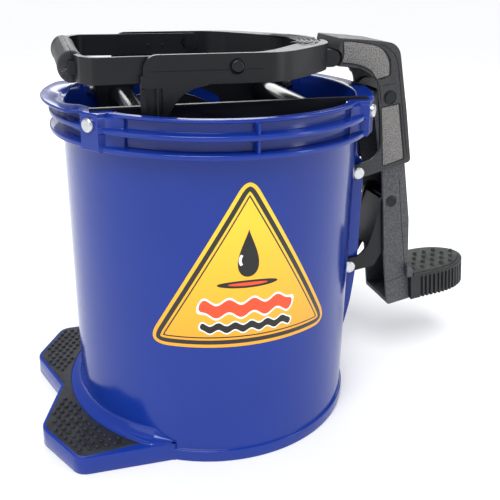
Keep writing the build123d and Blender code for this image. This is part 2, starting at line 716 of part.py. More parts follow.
def lever_panels():
    """The sunk panels in both cheeks: a hooked upper one and a long lower one."""
    a_x, a_z = lever_pivot
    k_x, k_z = yoke_hinge
    upper = [(k_x + 12.3, k_z + 14.6), (k_x + 31, k_z + 13), (k_x + 45, k_z + 11), (k_x + 56, k_z + 5),
             (k_x + 61, k_z - 4), (k_x + 61.2, k_z - 17.8), (k_x + 51, k_z - 21.5),
             (k_x + 42, k_z - 12), (k_x + 30, k_z - 6), (k_x + 12.8, k_z - 3.2)]
    lower = [(a_x + 23.6, a_z + 63.4), (a_x + 41.3, a_z + 68), (a_x + 51.4, a_z + 10.4),
             (a_x + 27.4, a_z + 4.8)]
    cuts = []
    for outline, radii in ((upper, [1, 30, 14, 10, 14, 1, 1, 12, 20, 1]), (lower, 1.0)):
        cut = side_solid(outline, radii, lever_half_width - panel_depth, lever_half_width + 5)
        cuts += both_sides(cut)
    return cuts


def pivot_spacers():
    """The tubes that keep the lever's cheeks clear of the ears."""
    spacer = tube_y(*lever_pivot, pivot_bolt_radius + 2.4, pivot_bolt_radius, ear_half_width,
                    lever_half_width - cheek_thickness - 0.2)
    return group(both_sides(spacer))


def pivot_bolt(pivot, half_width):
    """A through bolt with its head on the -Y side and room for a nut on the other."""
    return bolt_y(*pivot, pivot_bolt_radius, 6.4, -half_width - 0.3, half_width + 8)


def pivot_nut(pivot, half_width):
    return nut_y(*pivot, pivot_bolt_radius, 12.5, half_width + 0.3, half_width + 5.8)


def return_spring():
    """The torsion spring about the lever's bolt, between the ears, with a leg on the wall."""
    wire, turns, pitch = 0.8, 9, 2.0
    coil_radius = pivot_bolt_radius + 1.1
    height = turns * pitch
    path = Helix(pitch, height, coil_radius)
    coil = sweep(Plane(path @ 0, z_dir=path % 0) * Circle(wire), path)
    x, z = lever_pivot
    return Pos(x, height / 2, z) * Rot(90, 0, 0) * coil


leg_foot_z = link_pivot[1] - 49.5


def leg_outline():
    p_x, p_z = leg_pivot
    q_x, q_z = leg_link_pivot
    return [
        (p_x - 12, p_z + 12), (p_x + 11.5, p_z + 12), (p_x + 16, p_z - 20),
        (q_x + 22.5, q_z - 22), (q_x + 25.6, q_z - 68), (q_x + 33.5, leg_foot_z + 5),
        (q_x + 4.5, leg_foot_z), (q_x - 4, q_z - 55), (q_x - 12, q_z + 32),
        (p_x - 7, p_z - 50), (p_x - 12, p_z - 20)]


leg_radii = [11, 11, 60, 60, 60, 4, 3, 60, 60, 60, 20]


def pedal_leg():
    """A channel with its open side to the bucket: two cheeks, a web and a closed foot."""
    p_x, p_z = leg_pivot
    q_x, q_z = leg_link_pivot
    half, inner = leg_half_width, leg_half_width - cheek_thickness
    body = side_solid(leg_outline(), leg_radii, -half, half)
    room = [(p_x - 40, p_z + 40), (p_x + 60, p_z + 40), (p_x + 60, p_z - 26),
            (p_x + 14.5, p_z - 26), (q_x + 19.5, q_z - 22), (q_x + 22.6, q_z - 68),
            (q_x + 30, leg_foot_z + 8.5), (q_x - 40, leg_foot_z + 3.5)]
    body -= side_solid(room, [1, 1, 1, 1, 60, 60, 2, 1], -inner, inner)
    body -= rod_y(p_x, p_z, leg_pin_radius + running_gap, -50, 50)
    body -= rod_y(q_x, q_z, link_pin_radius, -50, 50)
    for x, z in pedal_screw_places():
        body -= along_pedal(Pos(x, 0, z) * Rot(0, 90, 0) * Cylinder(2.6, 30))
    return body


pedal_origin = (leg_link_pivot[0] + 29.0, leg_foot_z + 33.5)


def along_pedal(solid):
    """From the pedal's own frame, with its top at z = 0 and +X along it, to its place."""
    return Pos(pedal_origin[0], 0, pedal_origin[1]) * Rot(0, -pedal_slope, 0) * solid


def pedal_screw_places():
    return [(0, -8), (0, -pedal_thickness + 8)]


def pedal_outline(inset=0.0):
    """The pedal from above: straight sides and an elliptical end."""
    straight, w, root = pedal_length * 0.42, pedal_half_width - inset, inset - 1.5
    reach = pedal_length - straight - inset
    end = EllipticalCenterArc((straight, 0), reach, w, -90, arc_size=180)
    return make_face([end, Polyline((straight, w), (root, w), (root, -w), (straight, -w))])


def pedal_rib_grooves():
    """Upright grooves round the pedal's rim."""
    straight, w = pedal_length * 0.42, pedal_half_width
    reach = pedal_length - straight
    first = 10.0
    count = int((straight - first) / pedal_rib_pitch) + 1
    places = [(first + index * pedal_rib_pitch, w) for index in range(count)]
    steps = int(2.1 * reach / pedal_rib_pitch)
    for index in range(steps):
        turn = radians(90 - 90 * (index + 0.6) / steps)
        places.append((straight + reach * cos(turn), w * sin(turn)))
    return places


def pedal_block():
    block = extrude(pedal_outline(), amount=-pedal_thickness)
    block = chamfer(block.edges().group_by(Axis.Z)[-1], 1.0)
    hollow = pedal_outline(3.5)
    block -= Pos(0, 0, -pedal_thickness - 1) * extrude(hollow, amount=pedal_thickness - 3)
    for sign in (1, -1):
        for x, y in pedal_rib_grooves():
            if abs(y) > 2 or sign > 0:
                block -= Pos(x, sign * y, -pedal_thickness / 2 - 2.5) * Cylinder(
                    1.15, pedal_thickness - 1)
    seat = pedal_outline(4.0)
    block -= Pos(0, 0, -1.0) * extrude(seat, amount=5)
    for x, z in pedal_screw_places():
        block -= Pos(0, 0, z) * Rot(0, 90, 0) * Cylinder(2.0, 30)
    solid = along_pedal(block)
    leg = side_solid(leg_outline(), leg_radii, -100, 100)
    return solid - leg


def pedal_tread():
    """The rubber tread let into the pedal's top, with five rows of studs."""
    tread = Pos(0, 0, -1.0) * extrude(pedal_outline(4.05), amount=tread_thickness)
    zone = pedal_outline(8.0)
    studs = []
    for column in range(6):
        for row in range(-3, 4):
            x, y = 9 + column * 11, row * 8 + 4 * (column % 2)
            if zone.distance_to(Vertex(x, y, 0)) < 0.01:
                studs.append(Pos(x, y, tread_thickness - 1) * Cylinder(2.2, 3.0))
    solid = along_pedal(tread + studs)
    return solid - side_solid(leg_outline(), leg_radii, -100, 100)


def pedal_screws():
    screws = []
    for x, z in pedal_screw_places():
        screw = Pos(5, 0, z) * Rot(0, 90, 0) * Cylinder(2.0, 17)
        screws.append(along_pedal(screw))
    return group(screws)


def leg_pin():
    """The pin that joins the leg to the lever, with a broad flat head on the -Y side."""
    half = lever_half_width
    pin = rod_y(*leg_pivot, leg_pin_radius, -half, half)
    head = rod_y(*leg_pivot, 5.4, -half - 1.2, -half)
    return pin + head


def leg_pin_clip():
    return rod_y(*leg_pivot, leg_pin_radius + 2.6, lever_half_width, lever_half_width + 1.2)


def link_pin():
    half = leg_half_width
    pin = rod_y(*leg_link_pivot, link_pin_radius, -half, half)
    head = rod_y(*leg_link_pivot, 4.6, half, half + 0.4)
    for end in both_sides(head):
        pin += end
    return pin


def link_outline():
    b_x, b_z = link_pivot
    q_x, q_z = leg_link_pivot
    return [
        (b_x - 7, b_z + 8), (b_x + 12, b_z + 9.6), (b_x + 20.5, b_z + 20),
        (b_x + 24.3, b_z + 31), (b_x + 29.6, b_z + 52.7), (q_x - 8.5, q_z + 9),
        (q_x + 8.5, q_z + 9), (q_x + 8.5, q_z - 20), (q_x - 4.6, q_z - 56.5),
        (b_x + 29, b_z - 2.7), (b_x + 21, b_z - 4), (b_x - 7, b_z - 8)]


link_radii = [7, 14, 10, 40, 60, 8, 8, 40, 14, 3, 3, 7]


def lower_link():
    """Two flanges and a web: the strut from the bucket's lower pivot to the leg."""
    b_x, b_z = link_pivot
    q_x, q_z = leg_link_pivot
    half, inner = link_half_width, link_half_width - cheek_thickness
    flanges = side_solid(link_outline(), link_radii, -half, half)
    flanges -= box(b_x - 60, q_x + 60, -inner, inner, b_z - 60, q_z + 60)
    web = side_solid([(b_x + 20.5, b_z + 20), (b_x + 24.3, b_z + 31), (b_x + 29.6, b_z + 52.7),
                      (q_x - 8.0, q_z + 1), (q_x - 5.0, q_z + 0.2), (b_x + 32.6, b_z + 52),
                      (b_x + 27.3, b_z + 30.4), (b_x + 23.6, b_z + 19.4)],
                     [1, 10, 20, 1, 1, 20, 10, 1], -inner - 0.5, inner + 0.5)
    link = flanges + web
    link -= rod_y(b_x, b_z, pivot_bolt_radius + 2, -50, 50)
    link -= rod_y(q_x, q_z, link_pin_radius + link_pin_play, -50, 50)
    return link


def link_bushes():
    bush = tube_y(*link_pivot, pivot_bolt_radius + 2, pivot_bolt_radius + running_gap,
                  link_half_width - cheek_thickness, link_half_width)
    return group(both_sides(bush))


def yoke_hinge_pin():
    half = knuckle_half_width
    return rod_y(*yoke_hinge, hinge_pin_radius, -half, half)


# ---- sub-parts --------------------------------------------------------------------------------
nodes = {
    "bucket_body": bucket_body,
    "anti_slip_pad": anti_slip_pad,
    "safety_label": safety_label,
    "side_plate_front": lambda: side_plate(-1),
    "side_plate_back": lambda: side_plate(1),
    "plate_bolts": plate_bolts,
    "plate_nuts": plate_nuts,
    "fixed_roller_axle": fixed_roller_axle,
    "fixed_axle_nuts": fixed_axle_nuts,
    "fixed_roller_tube": lambda: roller(fixed_roller_x),
    "fixed_roller_plugs": lambda: roller_plugs(fixed_roller_x),
    "moving_roller_tube": lambda: roller(moving_roller_x),
    "moving_roller_plugs": lambda: roller_plugs(moving_roller_x),
    "moving_roller_axle": moving_roller_axle,
    "moving_axle_clips": moving_axle_clips,
    "yoke_ring": yoke_ring,
    "yoke_hinge_pin": yoke_hinge_pin,
    "bail_frame": bail_frame,
    "bail_grip_outer": lambda: grip_half(-1),
    "bail_grip_inner": lambda: grip_half(1),
    "bail_pivot_bolts": bail_bolts,
    "bail_pivot_nuts": bail_nuts,
    "lever_casing": lever_casing,
    "lever_pivot_bolt": lambda: pivot_bolt(lever_pivot, lever_half_width),
    "lever_pivot_nut": lambda: pivot_nut(lever_pivot, lever_half_width),
    "lever_pivot_spacers": pivot_spacers,
    "lever_return_spring": return_spring,
    "leg_pivot_pin": leg_pin,
    "leg_pivot_clip": leg_pin_clip,
    "pedal_leg": pedal_leg,
    "pedal_block": pedal_block,
    "pedal_tread": pedal_tread,
    "pedal_screws": pedal_screws,
    "link_end_pin": link_pin,
    "lower_link": lower_link,
    "link_bushes": link_bushes,
    "link_pivot_bolt": lambda: pivot_bolt(link_pivot, link_half_width),
    "link_pivot_nut": lambda: pivot_nut(link_pivot, link_half_width),
}

os.makedirs("parts", exist_ok=True)
for name, make in nodes.items():
    solids = make().solids()
    export_step(solids[0] if len(solids) == 1 else Compound(children=solids), f"parts/{name}.step")
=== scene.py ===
# %% [markdown]
# # A pedal wringer bucket
# The object is a round blue bucket with a foot plate, and a wringer over its mouth: two rollers, a
# yoke that carries one of them, a carrying handle, and a pedal linkage at the side. Its sizes and
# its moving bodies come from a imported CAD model, which is loaded first as a fixed frame. This
# lesson puts the visible surfaces and finishes on that frame, so every piece goes where the CAD
# says and nothing has to be fitted by eye.

# %% Load the frame
import json

import bmesh
import bpy
import numpy as np
from mathutils import Matrix, Vector


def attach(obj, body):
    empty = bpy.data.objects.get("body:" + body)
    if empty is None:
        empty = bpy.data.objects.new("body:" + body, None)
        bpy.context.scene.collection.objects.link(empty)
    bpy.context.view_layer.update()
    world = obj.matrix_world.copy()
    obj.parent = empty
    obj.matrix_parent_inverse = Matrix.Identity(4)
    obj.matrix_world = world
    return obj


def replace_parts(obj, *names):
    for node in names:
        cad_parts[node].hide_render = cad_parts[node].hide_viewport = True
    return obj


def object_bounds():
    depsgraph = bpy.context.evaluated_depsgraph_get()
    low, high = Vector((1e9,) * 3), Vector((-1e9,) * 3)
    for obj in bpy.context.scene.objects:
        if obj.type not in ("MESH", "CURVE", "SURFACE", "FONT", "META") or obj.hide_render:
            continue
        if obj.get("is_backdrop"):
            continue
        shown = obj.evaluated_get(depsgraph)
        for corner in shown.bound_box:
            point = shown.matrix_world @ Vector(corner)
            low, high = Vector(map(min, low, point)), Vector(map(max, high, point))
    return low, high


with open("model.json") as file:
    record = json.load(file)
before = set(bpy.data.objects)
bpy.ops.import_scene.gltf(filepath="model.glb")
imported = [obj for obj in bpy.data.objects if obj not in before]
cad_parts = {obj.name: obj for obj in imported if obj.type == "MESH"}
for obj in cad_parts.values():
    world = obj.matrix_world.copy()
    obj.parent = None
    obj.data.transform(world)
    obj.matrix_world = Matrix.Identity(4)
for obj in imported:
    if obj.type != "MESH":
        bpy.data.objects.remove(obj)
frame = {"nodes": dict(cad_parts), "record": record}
cad_nodes = frame["nodes"]
cad_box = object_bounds()
print("nodes:", len(cad_nodes), "CAD box:", [round(value, 3) for value in cad_box[1] - cad_box[0]])

# %% [markdown]
# The camera is a short telephoto that looks down at the rim from the front left, with a slight
# roll. It is given as three angles and a place, and the small shift sets where the object sits in
# the square picture. The camera comes first, so that every later choice can be judged through it.

# %% Camera
TURN, TIP, ROLL = np.radians((-17.19, 17.65, 0.75))
LEVEL_RIGHT = Vector((np.cos(TURN), np.sin(TURN), 0))
FORWARD = Vector((-np.sin(TURN) * np.cos(TIP), np.cos(TURN) * np.cos(TIP), -np.sin(TIP)))
LEVEL_UP = LEVEL_RIGHT.cross(FORWARD)
right = LEVEL_RIGHT * np.cos(ROLL) + LEVEL_UP * np.sin(ROLL)
up = LEVEL_UP * np.cos(ROLL) - LEVEL_RIGHT * np.sin(ROLL)

camera = bpy.data.objects.new("camera", bpy.data.cameras.new("camera"))
bpy.context.scene.collection.objects.link(camera)
bpy.context.scene.camera = camera
camera.data.sensor_width = 36.0
camera.data.lens = 50.8
camera.data.shift_x, camera.data.shift_y = 0.0082, -0.1252
camera.matrix_world = Matrix.LocRotScale(
    Vector((-0.1626, -0.6387, 0.4221)),
    Matrix((right, up, -FORWARD)).transposed().to_quaternion(), None)
print("camera looks along", [round(value, 3) for value in FORWARD])

# %% [markdown]
# A pale floor and four large soft lights are what a catalogue studio uses for glossy
# plastic: the plastic shows mostly the shapes of its lights, so those are wide panels. The one on
# the left draws the long pale streak down the wall, the tall one on the right lights the corner
# blocks, and the top one lights the rims and the handle. The one behind the object draws the pale
# reflections along its rims and rollers.

# %% Colour helper
def linear(hex_colour):
    """An sRGB hex colour as linear RGBA: each channel above 0.04045 is ((c + 0.055) / 1.055)^2.4."""
    channels = np.array([int(hex_colour[k:k + 2], 16) / 255 for k in (1, 3, 5)])
    bright = ((channels + 0.055) / 1.055) ** 2.4
    return (*np.where(channels <= 0.04045, channels / 12.92, bright), 1.0)


def add_node(tree, kind, inputs=None, **options):
    """One node: options are its own settings, and inputs maps a socket's name or number to a
    value, or to another node's output, which is then linked."""
    node = tree.nodes.new(kind)
    for name, value in options.items():
        setattr(node, name, value)
    for key, value in (inputs or {}).items():
        if isinstance(value, bpy.types.NodeSocket):
            tree.links.new(value, node.inputs[key])
        else:
            node.inputs[key].default_value = value
    return node


# %% Soft lights and sky
def soft_panel(name, place, target, width, height, watts):
    """A rectangular light at a place, facing a target."""
    panel = bpy.data.objects.new(name, bpy.data.lights.new(name, "AREA"))
    panel.data.shape = "RECTANGLE"
    panel.data.size, panel.data.size_y = width, height
    panel.data.energy = watts
    facing = (Vector(target) - Vector(place)).to_track_quat("-Z", "Y")
    panel.matrix_world = Matrix.LocRotScale(Vector(place), facing, None)
    bpy.context.scene.collection.objects.link(panel)


MIDDLE = (0.0, 0.0, 0.2)
soft_panel("left_panel", (-1.7, -0.75, 0.75), MIDDLE, 0.9, 1.5, 4.5)
soft_panel("right_panel", (1.35, -1.15, 0.7), MIDDLE, 0.3, 1.4, 6)
soft_panel("top_panel", (0.1, 0.6, 1.6), MIDDLE, 1.4, 0.8, 5)
soft_panel("back_panel", (0.5, 1.9, 1.15), MIDDLE, 1.9, 0.8, 18)

daylight = bpy.data.objects.new("daylight", bpy.data.lights.new("daylight", "SUN"))
daylight.data.energy = 2.5
daylight.data.angle = np.radians(35)
daylight.matrix_world = Matrix.LocRotScale(
    Vector((0, 0, 3)), Vector((0.3, 0.5, -0.95)).to_track_quat("-Z", "Y"), None)
bpy.context.scene.collection.objects.link(daylight)

world = bpy.data.worlds.new("studio")
world.use_nodes = True
sky = world.node_tree.nodes["Background"]
sky.inputs["Color"].default_value = linear("#f4f6fa")
sky.inputs["Strength"].default_value = 0.48
bpy.context.scene.world = world
bpy.context.scene.view_settings.view_transform = "Standard"
print("lights: 4 panels, soft daylight and a pale sky")

# %% [markdown]
# Every finish is a Principled shader whose pattern reads Object coordinates scaled to millimetres,
# so a noise of scale 1 / 6 has spots about 6 mm across, and the pattern stays put when a piece
# moves. One start function makes the material, its shader and those coordinates. Most finishes
# then vary in patches of one size, so a second function gives them two tones and a gloss range.

# %% Start a finish
finishes = {}


def start_finish(name, slot):
    """A new material filed under its name, with its tree, its shader and Object coordinates in mm."""
    material = bpy.data.materials.new(name)
    material.use_nodes = True
    tree = material.node_tree
    coordinates = add_node(tree, "ShaderNodeTexCoord")
    in_mm = add_node(tree, "ShaderNodeMapping", {0: coordinates.outputs["Object"],
                                                 "Scale": (1000, 1000, 1000)})
    finishes[name] = (material, slot)
    return tree, tree.nodes["Principled BSDF"], in_mm.outputs[0]


def patchy_finish(name, slot, patch_mm, detail, tones, roughness, **settings):
    """A finish that varies in patches of one size. Its colour goes between two tones, and its
    roughness between two values or stays at one. settings are the shader's other sockets."""
    tree, shader, in_mm = start_finish(name, slot)
    patches = add_node(tree, "ShaderNodeTexNoise", {"Vector": in_mm, "Scale": 1 / patch_mm,
                                                    "Detail": detail})
    colour = add_node(tree, "ShaderNodeMix", {0: patches.outputs[0], 6: linear(tones[0]),
                                              7: linear(tones[1])}, data_type="RGBA")
    tree.links.new(colour.outputs[2], shader.inputs["Base Color"])
    if isinstance(roughness, tuple):
        gloss = add_node(tree, "ShaderNodeMapRange", {0: patches.outputs[0], 3: roughness[0],
                                                      4: roughness[1]})
        tree.links.new(gloss.outputs[0], shader.inputs["Roughness"])
    else:
        shader.inputs["Roughness"].default_value = roughness
    for socket, value in settings.items():
        shader.inputs[socket.replace("_", " ")].default_value = value
    return tree, shader, in_mm


# %% [markdown]
# The floor is matt pale card. Its soft mottling is too faint to see as a pattern, and only keeps
# the pale grey from looking computed.

# %% Floor
floor_mesh = bpy.data.meshes.new("floor")
floor_mesh.from_pydata([(-20, -20, 0), (20, -20, 0), (20, 20, 0), (-20, 20, 0)], [], [(0, 1, 2, 3)])
floor = bpy.data.objects.new("floor", floor_mesh)
bpy.context.scene.collection.objects.link(floor)
patchy_finish("matt_card", None, 90, 2.0, ("#f1f1f1", "#f5f5f5"), 0.9)
floor_mesh.materials.append(finishes["matt_card"][0])
floor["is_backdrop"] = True

# %% [markdown]
# The bucket is injection-moulded polypropylene, coloured right through with a strong blue. Its
# mould is polished, so the skin is glossy (roughness near 0.15, IOR 1.49), yet it cools unevenly,
# which leaves waves a few centimetres long that bend the reflections, and a fine orange peel.

# %% Blue polypropylene
tree, shader, in_mm = start_finish("blue_polypropylene", "blue_polypropylene")
cloud = add_node(tree, "ShaderNodeTexNoise", {"Vector": in_mm, "Scale": 1 / 70, "Detail": 3.0})
blue = add_node(tree, "ShaderNodeMix", {0: cloud.outputs[0], 6: linear("#0d2c84"),
                                        7: linear("#123491")}, data_type="RGBA")
tree.links.new(blue.outputs[2], shader.inputs["Base Color"])
streaked = add_node(tree, "ShaderNodeMapping", {0: in_mm, "Scale": (1 / 14, 1 / 14, 1 / 90)})
streaks = add_node(tree, "ShaderNodeTexNoise", {"Vector": streaked.outputs[0], "Scale": 1.0})
gloss = add_node(tree, "ShaderNodeMapRange", {0: streaks.outputs[0], 3: 0.1, 4: 0.2})
tree.links.new(gloss.outputs[0], shader.inputs["Roughness"])
waves = add_node(tree, "ShaderNodeTexNoise", {"Vector": in_mm, "Scale": 1 / 45})
slow = add_node(tree, "ShaderNodeBump", {"Height": waves.outputs[0], "Strength": 0.5,
                                         "Distance": 0.0005})
peel = add_node(tree, "ShaderNodeTexNoise", {"Vector": in_mm, "Scale": 1 / 1.5})
fine = add_node(tree, "ShaderNodeBump", {"Height": peel.outputs[0], "Strength": 0.04,
                                         "Distance": 0.0003, "Normal": slow.outputs[0]})
tree.links.new(fine.outputs[0], shader.inputs["Normal"])
shader.inputs["IOR"].default_value = 1.49
shader.inputs["Specular IOR Level"].default_value = 0.4

# %% [markdown]
# The yoke and the handle are charcoal polypropylene from a lightly blasted mould: satin, with a
# grain too fine to see one by one but enough to spread each reflection. Broad cloudy patches in
# the gloss are where the melt met the mould first.

# %% Charcoal polypropylene
tree, shader, in_mm = patchy_finish("satin_charcoal_plastic", "black_plastic", 22, 4.0,
                                    ("#0a0b10", "#131419"), (0.28, 0.46), IOR=1.49,
                                    Specular_IOR_Level=0.36)
grain = add_node(tree, "ShaderNodeTexNoise", {"Vector": in_mm, "Scale": 1 / 0.8, "Detail": 2.0})
skin = add_node(tree, "ShaderNodeBump", {"Height": grain.outputs[0], "Strength": 0.22,
                                         "Distance": 0.0002})
tree.links.new(skin.outputs[0], shader.inputs["Normal"])

# %% [markdown]
# The pedal linkage is the same plastic from a spark-eroded mould, which leaves a leathery pebble
# about 1 mm across. Light catches the tops of the pebbles, and the colour repeats it: the tops are
# painted paler, a painted highlight, so from a distance the surface looks speckled grey. One noise
# makes the pebble: its own size first, then finer octaves on top.

# %% Pebbled plastic
def pebbled_plastic(name, dark, crown_highlight, depth, pebble_mm):
    """Moulded plastic with a spark-eroded pebble: its tops stand depth mm high, with a painted highlight."""
    tree, shader, in_mm = start_finish(name, "textured_plastic")
    pebble = add_node(tree, "ShaderNodeTexNoise", {"Vector": in_mm, "Scale": 1 / pebble_mm,
                                                   "Detail": 3.0, "Roughness": 0.6})
    crown_height_and_highlight = add_node(tree, "ShaderNodeMapRange", {0: pebble.outputs[0], 1: 0.38, 2: 0.64})
    # Painted highlight: the pebble tops are coloured paler, where light would catch them.
    tone = add_node(tree, "ShaderNodeMix", {0: crown_height_and_highlight.outputs[0], 6: linear(dark),
                                            7: linear(crown_highlight)}, data_type="RGBA")
    tree.links.new(tone.outputs[2], shader.inputs["Base Color"])
    height = add_node(tree, "ShaderNodeBump", {"Height": crown_height_and_highlight.outputs[0], "Strength": 0.8,
                                               "Distance": depth / 1000})
    tree.links.new(height.outputs[0], shader.inputs["Normal"])
    shader.inputs["Roughness"].default_value = 0.5
    shader.inputs["IOR"].default_value = 1.49


pebbled_plastic("coarse_pebbled_plastic", "#4b4a4a", "#8e8c89", 0.25, 1.2)
pebbled_plastic("fine_pebbled_plastic", "#2e2f33", "#595a5e", 0.14, 1.3)
pebbled_plastic("dark_pebbled_plastic", "#1b1b1e", "#3a3b3e", 0.12, 1.3)
pebbled_plastic("pedal_moulding", "#0f1113", "#1e2023", 0.1, 1.0)

# %% [markdown]
# The pads are vulcanised rubber: nearly black, matt, with a dusty bloom that lifts to grey in
# patches. Rubber has no sharp highlight, so its roughness is about 0.7. The pedal's tread is a
# greener, paler compound than the foot pad's.

# %% Rubber
def rubber(name, dark, bloom):
    """Matt rubber, dusted with bloom in patches 9 mm across, with a 0.7 mm grain."""
    tree, shader, in_mm = start_finish(name, "black_rubber")
    dust = add_node(tree, "ShaderNodeTexNoise", {"Vector": in_mm, "Scale": 1 / 9, "Detail": 5.0})
    patches = add_node(tree, "ShaderNodeMapRange", {0: dust.outputs[0], 1: 0.35, 2: 0.7})
    tone = add_node(tree, "ShaderNodeMix", {0: patches.outputs[0], 6: linear(dark),
                                            7: linear(bloom)}, data_type="RGBA")
    tree.links.new(tone.outputs[2], shader.inputs["Base Color"])
    grain = add_node(tree, "ShaderNodeTexNoise", {"Vector": in_mm, "Scale": 1 / 0.7})
    skin = add_node(tree, "ShaderNodeBump", {"Height": grain.outputs[0], "Strength": 0.4,
                                             "Distance": 0.0002})
    tree.links.new(skin.outputs[0], shader.inputs["Normal"])
    shader.inputs["Roughness"].default_value = 0.66


rubber("pad_rubber", "#111319", "#272a31")
rubber("tread_rubber", "#1e2321", "#363b37")

# %% [markdown]
# The rollers are extruded, polished plastic tube. Die lines run along the tube, so the gloss is
# stretched that way: the noise is 40 times longer along Y than across.

# %% Polished roller plastic
tree, shader, in_mm = start_finish("polished_roller_plastic", "roller_plastic")
stretched = add_node(tree, "ShaderNodeMapping", {0: in_mm, "Scale": (1 / 1.2, 1 / 48, 1 / 1.2)})
die_lines = add_node(tree, "ShaderNodeTexNoise", {"Vector": stretched.outputs[0], "Scale": 1.0})
tone = add_node(tree, "ShaderNodeMix", {0: die_lines.outputs[0], 6: linear("#060608"),
                                        7: linear("#0e0f12")}, data_type="RGBA")
tree.links.new(tone.outputs[2], shader.inputs["Base Color"])
polish = add_node(tree, "ShaderNodeMapRange", {0: die_lines.outputs[0], 3: 0.1, 4: 0.2})
tree.links.new(polish.outputs[0], shader.inputs["Roughness"])
shader.inputs["IOR"].default_value = 1.5

# %% [markdown]
# The bolts, nuts, pins and axles are zinc-plated steel, bright and slightly mottled where the zinc
# crystals differ. It is a metal, so its colour is in its reflection and its metallic value is 1.

# %% Plated and spring steel
CRYSTAL_MM = 2
for name, slot, tones, roughness in (
        ("zinc_plated_steel", "zinc_steel", ("#b9bcc0", "#dcdee0"), (0.2, 0.4)),
        ("spring_steel", "spring_steel", ("#6d7075", "#8d9095"), (0.25, 0.45)),
        ("blackened_steel", "black_fastener", ("#24262a", "#3c3f44"), (0.35, 0.5))):
    patchy_finish(name, slot, CRYSTAL_MM, 3.0, tones, roughness, Metallic=1.0)

# %% [markdown]
# The bushes are natural nylon: milky white, slightly translucent, with a soft sheen.

# %% Nylon
patchy_finish("natural_nylon", "white_nylon", 5, 2.0, ("#d9d7cf", "#ebe9e2"), 0.4,
              Subsurface_Weight=0.1, IOR=1.53)
print("finishes:", sorted(finishes))

# %% [markdown]
# ## Surfaces from arrays
# Most pieces here are grids: rows of points, each row a closed or open line, worked out as one
# array and joined into quads. Where a seam or a pole brings points together they are merged, so
# that light runs smoothly across. Lengths are in millimetres until the mesh is made.

# %% Helpers that turn arrays into pieces
def grid_faces(rows, columns, wrap):
    """Quads between neighbouring rows; wrap joins the last column to the first."""
    here = np.arange(rows - 1)[:, None] * columns
    column = np.arange(columns if wrap else columns - 1)[None, :]
    after = (column + 1) % columns
    return np.stack([here + column, here + after, here + columns + after,
                     here + columns + column], axis=-1).reshape(-1, 4)


def placed(name, mesh, body, finish, sharp_degrees):
    """A mesh shown as a piece of one body, with its finish, smooth but for edges sharper than that."""
    mesh.shade_smooth()
    mesh.set_sharp_from_angle(angle=np.radians(sharp_degrees))
    material, slot = finishes[finish]
    mesh.materials.append(material)
    piece = bpy.data.objects.new(name, mesh)
    bpy.context.scene.collection.objects.link(piece)
    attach(piece, body)
    print(f"{name}: {len(mesh.vertices)} points, {len(mesh.polygons)} faces")
    return piece


def make_piece(name, body, finish, points_mm, faces, uv=None):
    """A smooth mesh from points in mm and faces, merged, facing outwards, with its finish."""
    mesh = bpy.data.meshes.new(name)
    mesh.from_pydata((np.asarray(points_mm) / 1000).tolist(), [], [list(map(int, f)) for f in faces])
    if uv is not None:
        layer = mesh.uv_layers.new(name="surface")
        corners = np.empty(len(mesh.loops), dtype=np.int32)
        mesh.loops.foreach_get("vertex_index", corners)
        layer.data.foreach_set("uv", np.asarray(uv, dtype=float)[corners].ravel())
    shape = bmesh.new()
    shape.from_mesh(mesh)
    bmesh.ops.remove_doubles(shape, verts=shape.verts, dist=2e-6)
    bmesh.ops.recalc_face_normals(shape, faces=shape.faces)
    shape.to_mesh(mesh)
    shape.free()
    return placed(name, mesh, body, finish, sharp_degrees=38)


def joined(parts):
    """Several (points, faces) meshes as one, each part's faces counted on from the last's."""
    starts = np.cumsum([0] + [len(points) for points, _ in parts])
    faces = [[int(start) + k for k in face] for start, (_, part) in zip(starts, parts) for face in part]
    return np.concatenate([points for points, _ in parts]), faces


# %% [markdown]
# A moulded edge is never sharp. A profile's corner is rounded by a short quadratic curve: it leaves
# one edge at distance d from the corner, is pulled towards the corner and meets the other edge at
# the same distance. The same rule works on a whole family of profiles at once.

# %% Rounded profiles and outlines
def round_corners(points, radii, steps=4, closed=False):
    """points is (corners, ..., 2). Each corner becomes steps + 1 points of the curve
    (1-t)^2 A + 2t(1-t) P + t^2 B, where A and B lie at the radius, or 45% of the edge if less."""
    before = np.roll(points, 1, axis=0)
    after = np.roll(points, -1, axis=0)
    reach = np.asarray(radii, dtype=float).reshape(-1, *[1] * (points.ndim - 1))
    if not closed:
        before[0], after[-1] = points[0], points[-1]

    def towards(other):
        gap = other - points
        length = np.linalg.norm(gap, axis=-1, keepdims=True)
        return points + gap / np.maximum(length, 1e-9) * np.minimum(reach, 0.45 * length)

    share = np.linspace(0, 1, steps + 1).reshape(1, -1, *[1] * (points.ndim - 1))
    start, corner, end = (part[:, None] for part in (towards(before), points, towards(after)))
    curve = (1 - share) ** 2 * start + 2 * share * (1 - share) * corner + share ** 2 * end
    return curve.reshape(-1, *points.shape[1:])


def inset(outline, distance):
    """A closed anticlockwise outline moved inwards: each point goes along its own normal."""
    ahead = np.roll(outline, -1, axis=0) - np.roll(outline, 1, axis=0)
    ahead /= np.maximum(np.linalg.norm(ahead, axis=1, keepdims=True), 1e-9)
    return outline + distance * np.stack([-ahead[:, 1], ahead[:, 0]], axis=1)


def anticlockwise(outline):
    """The outline in anticlockwise order, judged by the sign of its area."""
    x, y = outline.T
    area = np.sum(x * np.roll(y, -1) - y * np.roll(x, -1))
    return outline if area > 0 else outline[::-1]


def stacked(flat_loops, heights):
    """A solid stacked from flat loops of equal count, one to a height. One flat face closes each end."""
    loops = [np.column_stack([loop, np.full(len(loop), height)])
             for loop, height in zip(flat_loops, heights)]
    count, last = len(loops[0]), len(loops[0]) * (len(loops) - 1)
    faces = grid_faces(len(loops), count, wrap=True).tolist()
    return np.concatenate(loops), faces + [list(range(count))[::-1], list(range(last, last + count))]


def slab(outline, levels):
    """A stack of insets of one outline. levels is [(inset, height), ...]."""
    return stacked([inset(outline, d) for d, _ in levels], [height for _, height in levels])


